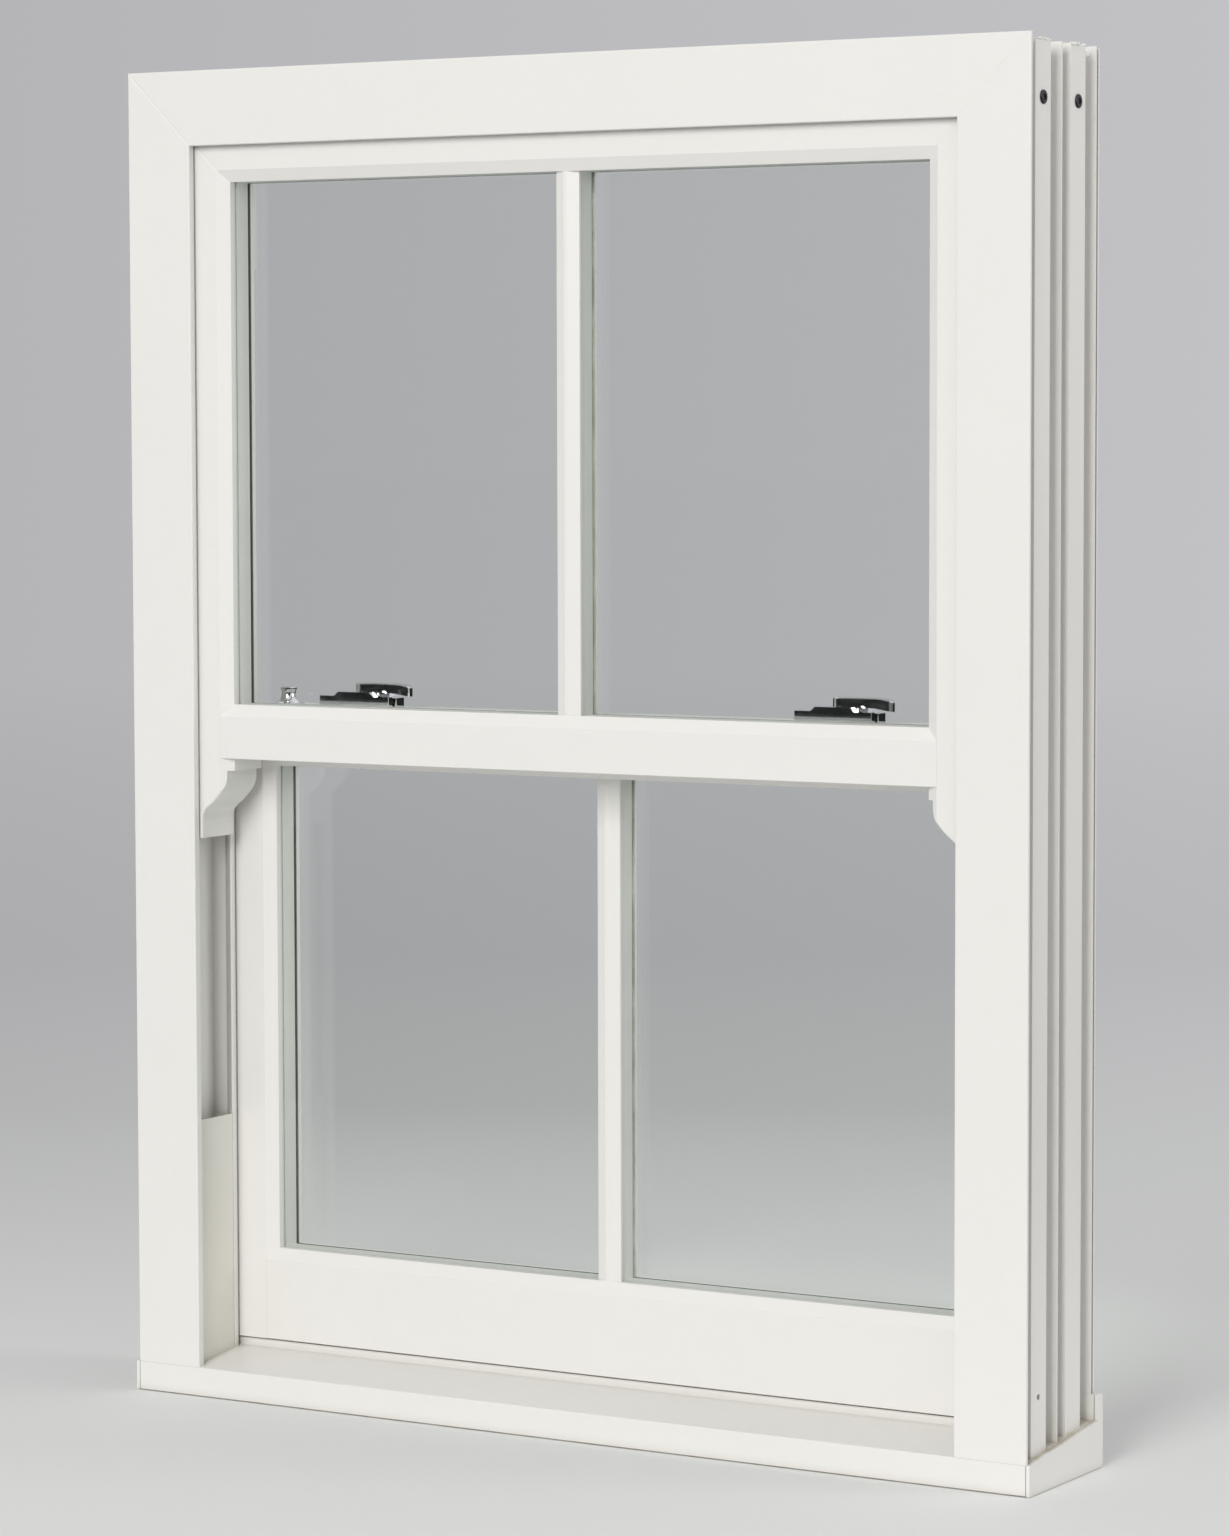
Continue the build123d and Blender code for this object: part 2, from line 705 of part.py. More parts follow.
def shoes(track, height):
    """Balance shoe in its channel, and the pivot bar that joins it to the sash."""
    front = channel_fronts[track]
    x, y = channel_centre(front)
    half_x = (web_x - channel_wall - floor_x - wall) / 2 - shoe_clearance
    half_y = channel_middle - channel_wall - shoe_clearance
    body = block(x - half_x, x + half_x, y - half_y, y + half_y, height - shoe_length / 2,
                 height + shoe_length / 2)
    body = fillet(body.edges().filter_by(Axis.Z), 2 * edge_round)
    start, end = stile_edge - pivot_inset, x + half_x / 2
    body -= rod(pivot_radius + clear_fit, (x - 2 * half_x, y, height), (end, y, height), "X")
    bar = rod(pivot_radius, (start, y, height), (end, y, height), "X")
    return both_sides(body) + both_sides(bar)


def balance_rods(track, height, length):
    """Rod from the shoe up into the tube."""
    x, y = channel_centre(channel_fronts[track])
    foot = height + shoe_length / 2
    return both_sides(rod(rod_radius, (x, y, foot), (x, y, foot + length), "Z"))


def screw_places(y):
    return [(x + side * fastener_screw_place, y) for x in fastener_places for side in (-1, 1)]


def fastener_screw_places():
    return screw_places(sash_fronts[1] + fastener_setback + fastener_end / 2)


def stepped_front(low_height, high_height):
    """Front outline shared by the housing and its keep, with the raised boss in the middle."""
    half = fastener_half
    return shape((-half, 0), (half, 0), (half, low_height), (boss_foot_half, low_height),
                 (boss_half, high_height), (-boss_half, high_height), (-boss_foot_half, low_height),
                 (-half, low_height))


def fastener_bases():
    """Stepped housings with a half-round back, slotted for the cam; drawn about the spindle."""
    back = cam_radius + cam_cover
    body = along_y(stepped_front(fastener_height, boss_height), -spindle_setback, back)
    plan = rect(-fastener_half, fastener_half, -spindle_setback, fastener_end - spindle_setback)
    plan += Circle(back) & rect(-back, back, -spindle_setback, back)
    body &= extrude(plan, boss_height)
    ends = body.edges().filter_by(Axis.Z)
    body = fillet(ends.filter_by(lambda edge: abs(edge.center().X) > fastener_half - running), edge_round)
    gap = 2 * running
    slot_low, slot_high = cam_level - running, cam_level + cam_thickness + running
    body -= rod(cam_radius + gap, (0, 0, slot_low), (0, 0, slot_high), "Z")
    body -= rod(spindle_radius + running, (0, 0, wall / 2), (0, 0, boss_height + wall), "Z")
    middle = fastener_end / 2 - spindle_setback
    for x in (-fastener_screw_place, fastener_screw_place):
        body -= rod(fastener_screw_shank + clear_fit, (x, middle, -wall), (x, middle, fastener_height), "Z")
        body -= rod(fastener_screw_head + clear_fit, (x, middle, fastener_height - wall),
                    (x, middle, fastener_height + wall), "Z")
    return [Pos(x, spindle_y, inner_sash_top) * body for x in fastener_places]


def slotted_screw(x, y, low, head_low, shank, head, head_height):
    """Wood screw with a driver slot across its head."""
    screw = rod(shank, (x, y, low), (x, y, head_low), "Z")
    cap = rod(head, (x, y, head_low), (x, y, head_low + head_height), "Z")
    slot_low = head_low + head_height / 2
    return screw + cap - block(x - head, x + head, y - seat, y + seat, slot_low, head_low + wall)


def fastener_screws():
    head_low = inner_sash_top + fastener_height - wall
    return [slotted_screw(x, y, inner_sash_top - fastener_screw_length, head_low, fastener_screw_shank,
                          fastener_screw_head, wall - seat) for x, y in fastener_screw_places()]


def fastener_lever():
    """Lever, spindle and half-round cam in one piece, drawn about the spindle's axis."""
    low = boss_height + running
    top = low + lever_thickness
    tip = lever_length - lever_tip_half
    plan = Circle(lever_eye) + Pos(tip, 0) * Circle(lever_tip_half)
    plan += shape((0, -lever_eye), (tip, -lever_tip_half), (tip, lever_tip_half), (0, lever_eye))
    handle = extrude(Pos(0, 0, low - lever_tip_drop) * plan, lever_thickness + lever_tip_drop)
    knee = boss_foot_half + lever_tip_drop
    side = make_face([
        Line((-lever_eye, low), (knee, low)),
        Spline((knee, low), (lever_length, low - lever_tip_drop), tangents=[(1, 0), (1, -0.2)]),
        Line((lever_length, low - lever_tip_drop), (lever_length, top - lever_tip_drop)),
        Spline((lever_length, top - lever_tip_drop), (knee, top), tangents=[(-1, 0.45), (-1, 0)]),
        Line((knee, top), (-lever_eye, top)),
        Line((-lever_eye, top), (-lever_eye, low)),
    ])
    handle &= along_y(side, -lever_eye, lever_eye)
    rims = handle.edges().filter_by(lambda edge: edge.center().Z > low + lever_thickness / 2)
    handle = chamfer(rims, lever_edge)
    spindle = rod(spindle_radius, (0, 0, cam_level), (0, 0, low + wall), "Z")
    disc = rod(cam_radius, (0, 0, cam_level), (0, 0, cam_level + cam_thickness), "Z")
    disc -= block(-wide, wide, -wide, -spindle_radius / 2, 0, boss_height)
    return handle + spindle + disc


def keep_front():
    return sash_fronts[0] + sash_depth + running


def keep_screw_places():
    return screw_places(keep_front() + keep_depth / 2)


def keeps():
    """Stepped keeps on the interlock's ledge, open at the back for the cam."""
    y = keep_front()
    low = outer_glass_low - ledge_top
    body = along_y(stepped_front(keep_height, keep_height + boss_rise), y, y + keep_depth)
    body = fillet(body.edges().filter_by(Axis.Z), edge_round)
    body -= block(-keep_mouth_half, keep_mouth_half, y + keep_skin, y + keep_depth + wall, keep_skin,
                  keep_mouth_height)
    pair = []
    for x in fastener_places:
        keep = Pos(x, 0, low) * body
        for place_x, place_y in keep_screw_places():
            top = (place_x, place_y, low + boss_height + wall)
            keep -= rod(keep_screw_shank + clear_fit, (place_x, place_y, low - wall), top, "Z")
            keep -= rod(keep_screw_head + clear_fit, (place_x, place_y, low + keep_height - wall), top, "Z")
        pair.append(keep)
    return pair


def keep_screws():
    low = outer_glass_low - ledge_top
    head_low = low + keep_height - wall
    return [slotted_screw(x, y, low - wall, head_low, keep_screw_shank, keep_screw_head, wall - seat)
            for x, y in keep_screw_places()]


def bolt_tip():
    return floor_x + wall + latch_engage - running


def inner_latch_space():
    """Room for the bolt and the knob's stem inside the inner sash's corner."""
    y = channel_fronts[1] + channel_middle
    z = inner_sash_top - bolt_drop
    gap = 2 * running
    space = block(bolt_tip() - bolt_length - latch_travel - gap, wide, y - bolt_width / 2 - gap,
                  y + bolt_width / 2 + gap, z - bolt_height / 2 - gap, z + bolt_height / 2 + gap)
    return space + block(knob_place - latch_travel - stem_radius - gap, knob_place + stem_radius + gap,
                         y - stem_radius - gap, y + stem_radius + gap, z, inner_sash_top + wall)


def tilt_latch():
    """Turned knob on its spring bolt."""
    y = channel_fronts[1] + channel_middle
    z = inner_sash_top - bolt_drop
    tip = bolt_tip()
    bolt = block(tip - bolt_length, tip, y - bolt_width / 2, y + bolt_width / 2, z - bolt_height / 2,
                 z + bolt_height / 2)
    nose = bolt.edges().filter_by(Axis.Z).sort_by(Axis.X)[-2:]
    bolt = fillet(nose, 3 * edge_round)
    base = inner_sash_top + running
    outline = [
        Polyline((0, 0), (knob_radius, 0), (knob_radius, knob_rim)),
        Spline((knob_radius, knob_rim), (knob_neck + knob_rim, knob_waist / 2), (knob_neck, knob_waist),
               tangents=[(-1, 0.15), (0, 1)]),
        Polyline((knob_neck, knob_waist), (knob_top, knob_height - knob_lip),
                 (knob_top, knob_height - knob_edge), (knob_top - knob_edge, knob_height),
                 (0, knob_height), (0, 0)),
    ]
    knob = revolve(Plane.XZ * make_face(outline), Axis.Z)
    stem = rod(stem_radius, (knob_place, y, z), (knob_place, y, base + wall), "Z")
    return bolt + stem + Pos(knob_place, y, base) * knob


def outer_latch_height():
    return outer_glass_high + (rebate + stile_face) / 2


def outer_latch_space():
    """Room for the outer sash's bolt and its thumb piece, behind the top rail."""
    y = channel_fronts[0] + channel_middle
    z = outer_latch_height()
    gap = 2 * running
    start = thumb_place - latch_travel - 2 * stem_radius - gap
    space = block(start, wide, y - bolt_width / 2 - gap, y + bolt_width / 2 + gap, z - bolt_height / 2 - gap,
                  z + bolt_height / 2 + gap)
    return space + block(start, thumb_place + 2 * stem_radius + gap, y, sash_fronts[0] + sash_depth + wall,
                         z - stem_radius - gap, z + stem_radius + gap)


def outer_latch():
    """Spring bolt with a thumb piece on the rail's room side."""
    y = channel_fronts[0] + channel_middle
    z = outer_latch_height()
    tip = bolt_tip()
    start = thumb_place - 2 * stem_radius
    bolt = block(start, tip, y - bolt_width / 2, y + bolt_width / 2, z - bolt_height / 2,
                 z + bolt_height / 2)
    nose = bolt.edges().filter_by(Axis.Z).sort_by(Axis.X)[-2:]
    bolt = fillet(nose, 3 * edge_round)
    face = sash_fronts[0] + sash_depth + running
    neck = block(thumb_place - 2 * stem_radius, thumb_place + 2 * stem_radius, y, face + wall,
                 z - stem_radius, z + stem_radius)
    pad = block(thumb_place - 4 * stem_radius, thumb_place + 4 * stem_radius, face, face + thumb_reach,
                z - 2 * stem_radius, z + 2 * stem_radius)
    pad = fillet(pad.edges().filter_by(Axis.Y), 2 * edge_round)
    return bolt + neck + pad


def write(name, *solids):
    """Writes one node, centred on the sill's depth."""
    moved = [Pos(0, -frame_depth / 2, 0) * solid for solid in solids]
    shapes = [piece for solid in moved for piece in solid.solids()]
    export_step(Compound(children=shapes) if len(shapes) > 1 else shapes[0], f"parts/{name}.step")


def write_frame():
    side = {"jamb": jamb(), "sill_end_cap": sill_end_cap(), "outer_track_cover": outer_cover(),
            "inner_track_cover": inner_cover()}
    for name, right in side.items():
        write(f"{name}_right", right)
        write(f"{name}_left", flip(right))
    write("head", head())
    write("sill", sill())
    write("sill_weather_bar", weather_bar())
    write("frame_brushes", *brushes())
    write("balance_tubes", *balance_tubes())
    write("balance_bushes", *balance_bushes())
    write("balance_screws", *balance_screws())


def write_glazing(sash, low, high, y):
    outer_face = y + glass_front
    inner_face = y + glass_back
    for name, bead in beads(low, high, y).items():
        write(f"{sash}_bead_{name}", bead)
    write(f"{sash}_outer_pane", glass(low, high, outer_face))
    write(f"{sash}_inner_pane", glass(low, high, inner_face - pane))
    write(f"{sash}_spacer_frame", spacer(low, high, y))
    write(f"{sash}_gaskets", *gaskets(low, high, y))
    write(f"{sash}_outer_bar", glazing_bar(low, high, outer_face, -1))
    write(f"{sash}_inner_bar", glazing_bar(low, high, inner_face, 1))


def write_outer_sash():
    stile, latch = outer_stile(), outer_latch()
    write("upper_stile_right", stile)
    write("upper_stile_left", flip(stile))
    write("upper_latch_right", latch)
    write("upper_latch_left", flip(latch))
    write("upper_top_rail", outer_top_rail())
    write("upper_meeting_rail", rail(outer_glass_low, meeting_rail, -1, sash_fronts[0]))
    write("upper_interlock", outer_interlock())
    write("keeps", *keeps())
    write("keep_screws", *keep_screws())
    write("upper_balance_shoes", *shoes(0, outer_pivot_height))
    write("upper_balance_rods", *balance_rods(0, outer_pivot_height, outer_rod_length))
    write_glazing("upper", outer_glass_low, outer_glass_high, sash_fronts[0])


def write_inner_sash():
    stile, latch = inner_stile(), tilt_latch()
    write("lower_stile_right", stile)
    write("lower_stile_left", flip(stile))
    write("tilt_latch_right", latch)
    write("tilt_latch_left", flip(latch))
    write("lower_top_rail", inner_top_rail())
    write("lower_bottom_rail", rail(inner_glass_low, inner_glass_low - sash_bottom, -1, sash_fronts[1]))
    write("lower_interlock", inner_interlock())
    write("fastener_bases", *fastener_bases())
    write("fastener_screws", *fastener_screws())
    lever = fastener_lever()
    for name, x in zip(("left", "right"), fastener_places):
        write(f"fastener_lever_{name}", Pos(x, spindle_y, inner_sash_top) * lever)
    write("lower_balance_shoes", *shoes(1, inner_pivot_height))
    write("lower_balance_rods", *balance_rods(1, inner_pivot_height, inner_rod_length))
    write_glazing("lower", inner_glass_low, inner_glass_high, sash_fronts[1])


os.makedirs("parts", exist_ok=True)
write_frame()
write_outer_sash()
write_inner_sash()
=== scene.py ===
"""Looks, light and camera for a white plastic vertical sliding sash window on its sill."""

import logging  # noqa: E402
import math  # noqa: E402
from dataclasses import dataclass  # noqa: E402
from enum import Enum  # noqa: E402

import bmesh  # noqa: E402
import bpy  # noqa: E402
from bpy.types import Material, Node, NodeSocket, NodeTree  # noqa: E402
from mathutils import Matrix, Vector, noise  # noqa: E402


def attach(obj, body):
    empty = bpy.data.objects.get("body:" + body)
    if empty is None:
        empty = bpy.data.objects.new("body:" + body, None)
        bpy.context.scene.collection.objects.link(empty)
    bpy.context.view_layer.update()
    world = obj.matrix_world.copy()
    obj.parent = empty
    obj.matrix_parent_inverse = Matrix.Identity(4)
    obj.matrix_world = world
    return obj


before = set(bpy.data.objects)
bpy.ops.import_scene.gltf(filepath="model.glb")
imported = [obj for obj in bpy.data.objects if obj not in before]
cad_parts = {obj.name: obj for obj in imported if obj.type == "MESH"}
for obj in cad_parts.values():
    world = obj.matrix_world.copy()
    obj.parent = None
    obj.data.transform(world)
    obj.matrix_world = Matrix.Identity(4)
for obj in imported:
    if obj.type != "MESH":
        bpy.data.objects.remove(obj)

log = logging.getLogger("sash_window")
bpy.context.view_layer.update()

Colour = tuple[float, float, float]
Place = tuple[float, float, float]
Span = tuple[float, float]
Value = NodeSocket | float
Tint = NodeSocket | Colour
Setting = NodeSocket | float | Colour

RISING: Span = (0.0, 1.0)
FALLING: Span = (1.0, 0.0)

# Nearly all values of a noise texture lie in this span, around this middle.
NOISE_SPAN: Span = (0.3, 0.7)
NOISE_MIDDLE = 0.5

# A Mix node's factor and two sides, by place, and the place of its mixed colour.
MIX_NUMBERS = (0, 2, 3)
MIX_COLOURS = (0, 6, 7)
MIXED_COLOUR = 2

# What an effect on a whole surface puts out, with the kind of each socket.
SURFACE_OUTPUTS = {"Colour": "Color", "Roughness": "Float", "Height": "Float"}


class Run(Enum):
    """Axis that an extruded member runs along."""

    ACROSS = "X"
    UPRIGHT = "Z"


class Track(Enum):
    """The two sashes, by the names their pieces start with."""

    OUTER = "upper"
    INNER = "lower"

    @property
    def back(self) -> float:
        """Depth of the sash's room-side face."""
        return -0.0065 if self is Track.OUTER else 0.055

    @property
    def unit_middle(self) -> float:
        """Depth of the middle of the sash's sealed unit."""
        return -0.031 if self is Track.OUTER else 0.0305


def rgba(colour: Colour) -> tuple[float, float, float, float]:
    """Adds full opacity to a colour."""
    return (*colour, 1.0)


class Graph:
    """A node tree with short calls to add and join nodes."""

    def __init__(self, tree: NodeTree) -> None:
        """Keeps the tree that the calls work on."""
        self.tree = tree

    def feed(self, value: Setting, target: NodeSocket) -> None:
        """Joins a socket to an input, or sets a plain value on it.

        Args:
            value: a socket, a number, a vector or a colour.
            target: the input.
        """
        if isinstance(value, NodeSocket):
            self.tree.links.new(value, target)
        else:
            target.default_value = rgba(value) if target.type == "RGBA" else value

    def fill(self, node: Node, inputs: dict[str | int, Setting]) -> None:
        """Feeds several inputs of a node, each by its name or place."""
        for key, value in inputs.items():
            self.feed(value, node.inputs[key])

    def add(self, kind: str, inputs: dict[str | int, Setting] | None = None, **settings: object) -> Node:
        """Adds a node.

        Args:
            kind: Blender's name for the node, without its ShaderNode part.
            inputs: a socket or a plain value for each input, by its name or place.
            settings: properties to set on it.

        Returns:
            The new node.
        """
        node = self.tree.nodes.new(kind if kind.startswith("Node") else "ShaderNode" + kind)
        for name, value in settings.items():
            setattr(node, name, value)
        self.fill(node, inputs or {})
        return node

    def point(self) -> NodeSocket:
        """Gives the shaded point, in the piece's own coordinates."""
        return self.add("TexCoord").outputs["Object"]

    def split(self, vector: NodeSocket) -> dict[str, NodeSocket]:
        """Splits a vector into its X, Y and Z, by name."""
        node = self.add("SeparateXYZ", {0: vector})
        return {axis: node.outputs[axis] for axis in "XYZ"}

    def vector_maths(self, operation: str, first: NodeSocket, second: NodeSocket | Place) -> Node:
        """Adds a VectorMath node on two vectors."""
        return self.add("VectorMath", {0: first, 1: second}, operation=operation)

    def maths(self, operation: str, first: Value, second: Value | None = None) -> NodeSocket:
        """Adds a Math node on one or two sockets or numbers, and gives its output."""
        inputs = {0: first} if second is None else {0: first, 1: second}
        return self.add("Math", inputs, operation=operation).outputs[0]

    def times(self, first: Value, *others: Value) -> NodeSocket:
        """Multiplies sockets or numbers.

        Args:
            first: what the product starts from.
            others: what it is multiplied by, in turn.

        Returns:
            The product's socket.
        """
        product = first
        for value in others:
            product = self.maths("MULTIPLY", product, value)
        return product

    def spread(self, value: Value, span: Span, result: Span = RISING) -> NodeSocket:
        """Maps a value from one span to another, and holds it inside that.

        Args:
            value: the value to map.
            span: where the first span starts and ends.
            result: what the value becomes there.

        Returns:
            The mapped value's socket.
        """
        names = ("From Min", "From Max", "To Min", "To Max")
        node = self.add("MapRange", dict(zip(names, (*span, *result))), clamp=True)
        self.feed(value, node.inputs["Value"])
        return node.outputs["Result"]

    def noise_at(
        self, place: NodeSocket, scale: Value, detail: float = 2.0, roughness: float = 0.5
    ) -> NodeSocket:
        """Adds a noise texture, read at a point, and gives its value."""
        inputs = {"Vector": place, "Scale": scale, "Detail": detail, "Roughness": roughness}
        return self.add("TexNoise", inputs).outputs["Fac"]

    def uneven(self, cloud: NodeSocket, amount: Value) -> NodeSocket:
        """Gives a noise's swing about nothing, times an amount."""
        return self.times(self.maths("SUBTRACT", cloud, NOISE_MIDDLE), amount)

    def shut_in(self, reach: Value, span: Span, samples: int) -> NodeSocket:
        """Gives one where surfaces within reach shut a place in, and nothing where it is open."""
        open_sky = self.add("AmbientOcclusion", {"Distance": reach}, samples=samples).outputs["AO"]
        return self.spread(open_sky, span, FALLING)

    def mix_number(self, factor: Value, first: Value, second: Value) -> NodeSocket:
        """Mixes two numbers."""
        return self.add("Mix", dict(zip(MIX_NUMBERS, (factor, first, second))), data_type="FLOAT").outputs[0]

    def mix_colour(self, factor: Value, first: Tint, second: Tint) -> NodeSocket:
        """Mixes two colours, each a socket or a plain colour."""
        node = self.add("Mix", dict(zip(MIX_COLOURS, (factor, first, second))), data_type="RGBA")
        return node.outputs[MIXED_COLOUR]

    def mix_shader(self, factor: NodeSocket, first: Node, second: Node) -> NodeSocket:
        """Mixes two shaders."""
        return self.add("MixShader", {0: factor, 1: first.outputs[0], 2: second.outputs[0]}).outputs[0]

    def brighten(self, colour: NodeSocket, level: NodeSocket) -> NodeSocket:
        """Multiplies a colour's brightness by a level."""
        return self.add("HueSaturation", {"Color": colour, "Value": level}).outputs["Color"]

    def relief(self, height: NodeSocket, depth: float, strength: float) -> NodeSocket:
        """Turns a height into a normal, for a relief so many metres deep."""
        inputs = {"Height": height, "Distance": depth, "Strength": strength}
        return self.add("Bump", inputs).outputs["Normal"]


def effect(
    name: str, inputs: dict[str, tuple[str, float | Colour]], outputs: dict[str, str]
) -> tuple[Graph, Node, Node]:
    """Starts a shader node group.

    Args:
        name: the group's name.
        inputs: each input's kind of socket and its usual value.
        outputs: each output's kind of socket.

    Returns:
        The group's graph, its input node and its output node.
    """
    tree = bpy.data.node_groups.new(name, "ShaderNodeTree")
    for label, (kind, usual) in inputs.items():
        socket = tree.interface.new_socket(name=label, in_out="INPUT", socket_type="NodeSocket" + kind)
        socket.default_value = rgba(usual) if kind == "Color" else usual
    for label, kind in outputs.items():
        tree.interface.new_socket(name=label, in_out="OUTPUT", socket_type="NodeSocket" + kind)
    graph = Graph(tree)
    return graph, graph.add("NodeGroupInput"), graph.add("NodeGroupOutput")


@dataclass(frozen=True)
class DieLines:
    """Faint lines and tone along an extruded member, with dirt and painted shade in its joints and painted
    shade in its hollows.
    """

    line_scale: float = 260.0
    line_detail: float = 3.0
    cloud_scale: float = 5.0
    cloud_detail: float = 5.0
    speck_scale: float = 38.0
    speck_detail: float = 8.0
    speck_roughness: float = 0.7
    speck_span: Span = (0.52, 0.78)
    patch_span: Span = (0.3, 0.6)
    patch_least: float = 0.35
    joint_span: Span = (0.15, 0.62)
    hollow_span: Span = (0.2, 0.8)
    samples: int = 8
    dulling: float = 0.12

    def tree(self) -> NodeTree:
        """Makes the effect.

        Returns:
            The node group, with a colour, a roughness and a height.
        """
        inputs = {
            "Colour": ("Color", (0.8, 0.8, 0.8)),
            "Dust And Shade": ("Color", (0.5, 0.5, 0.5)),
            "Along": ("Vector", (1.0, 1.0, 1.0)),
            "Tone": ("Float", 0.03),
            "Grime": ("Float", 0.1),
            # Joint darkening is partly dirt and partly painted shade; recess darkening is painted shade. The
            # dust colour serves both.
            "Joint Dirt And Shade": ("Float", 0.5),
            "Reach": ("Float", 0.004),
            "Painted Recess Shade": ("Float", 0.3),
            "Recess Reach": ("Float", 0.02),
            "Roughness": ("Float", 0.3),
        }
        graph, given, result = effect("DieLines", inputs, SURFACE_OUTPUTS)
        place = graph.point()
        stretched = graph.vector_maths("MULTIPLY", place, given.outputs["Along"])
        lines = graph.noise_at(stretched.outputs[0], self.line_scale, self.line_detail)
        cloud = graph.noise_at(place, self.cloud_scale, self.cloud_detail)
        specks = graph.noise_at(place, self.speck_scale, self.speck_detail, self.speck_roughness)
        level = graph.maths("ADD", graph.uneven(cloud, given.outputs["Tone"]), 1.0)
        toned = graph.brighten(given.outputs["Colour"], level)
        scattered = graph.times(graph.spread(specks, self.speck_span), given.outputs["Grime"])
        # Ambient occlusion pulls the colour towards the dust colour: in joints as dirt with painted shade, in
        # hollows (sunk) as painted shade.
        joints = graph.shut_in(given.outputs["Reach"], self.joint_span, self.samples)
        patchy = graph.spread(specks, self.patch_span, (self.patch_least, 1.0))
        joint_dirt_and_shade_mask = graph.times(joints, patchy, given.outputs["Joint Dirt And Shade"])
        hollows = graph.shut_in(given.outputs["Recess Reach"], self.hollow_span, self.samples)
        sunk = graph.times(hollows, given.outputs["Painted Recess Shade"])
        dirt_and_shade = graph.maths("MAXIMUM", graph.maths("MAXIMUM", scattered, joint_dirt_and_shade_mask), sunk)
        graph.fill(result, {
            "Colour": graph.mix_colour(dirt_and_shade, toned, given.outputs["Dust And Shade"]),
            "Roughness": graph.maths("ADD", given.outputs["Roughness"], graph.uneven(specks, self.dulling)),
            "Height": lines,
        })
        return graph.tree


@dataclass(frozen=True)
class Tarnish:
    """Fine scratches and uneven shine of plated or bare metal."""

    cloud_scale: float = 90.0
    cloud_detail: float = 6.0
    stain_span: Span = (0.45, 0.75)
    dulling: float = 0.5

    def tree(self) -> NodeTree:
        """Makes the effect.

        Returns:
            The node group, with a colour, a roughness and a height.
        """
        inputs = {
            "Colour": ("Color", (0.8, 0.8, 0.8)),
            "Stain": ("Color", (0.4, 0.4, 0.4)),
            "Amount": ("Float", 0.2),
            "Roughness": ("Float", 0.1),
            "Grain": ("Float", 900.0),
        }
        graph, given, result = effect("Tarnish", inputs, SURFACE_OUTPUTS)
        place = graph.point()
        cloud = graph.noise_at(place, self.cloud_scale, self.cloud_detail)
        stained = graph.times(graph.spread(cloud, self.stain_span), given.outputs["Amount"])
        dull = graph.times(stained, self.dulling)
        graph.fill(result, {
            "Colour": graph.mix_colour(stained, given.outputs["Colour"], given.outputs["Stain"]),
            "Roughness": graph.maths("ADD", given.outputs["Roughness"], dull),
            "Height": graph.noise_at(place, given.outputs["Grain"]),
        })
        return graph.tree


@dataclass(frozen=True)
class LyingDirt:
    """Patches of dirt on low upward faces near the ends."""

    scale: float = 70.0
    detail: float = 4.0
    level_span: Span = (0.85, 0.95)
    patch_span: Span = (0.35, 0.65)
    patch_least: float = 0.3

    def tree(self) -> NodeTree:
        """Makes the effect.

        Returns:
            The node group, with a colour.
        """
        inputs = {
            "Colour": ("Color", (0.8, 0.8, 0.8)),
            "Dirt": ("Color", (0.5, 0.45, 0.35)),
            "Amount": ("Float", 0.5),
            "Start": ("Float", 0.39),
            "Top": ("Float", 0.05),
        }
        graph, given, result = effect("LyingDirt", inputs, {"Colour": "Color"})
        facing = graph.split(graph.add("NewGeometry").outputs["True Normal"])
        place = graph.point()
        parts = graph.split(place)
        low = graph.maths("LESS_THAN", parts["Z"], given.outputs["Top"])
        outer = graph.maths("GREATER_THAN", graph.maths("ABSOLUTE", parts["X"]), given.outputs["Start"])
        level = graph.spread(facing["Z"], self.level_span)
        patches = graph.noise_at(place, self.scale, self.detail)
        patchy = graph.spread(patches, self.patch_span, (self.patch_least, 1.0))
        mask = graph.times(patchy, low, outer, level, given.outputs["Amount"])
        dirty = graph.mix_colour(mask, given.outputs["Colour"], given.outputs["Dirt"])
        graph.feed(dirty, result.inputs["Colour"])
        return graph.tree


def shader(name: str) -> tuple[Material, Graph, Node, Node]:
    """Starts a material.

    Args:
        name: the material's name.

    Returns:
        The material, its graph, its Principled node and its output node.
    """
    material = bpy.data.materials.new(name)
    material.use_nodes = True
    nodes = material.node_tree.nodes
    return material, Graph(material.node_tree), nodes["Principled BSDF"], nodes["Material Output"]


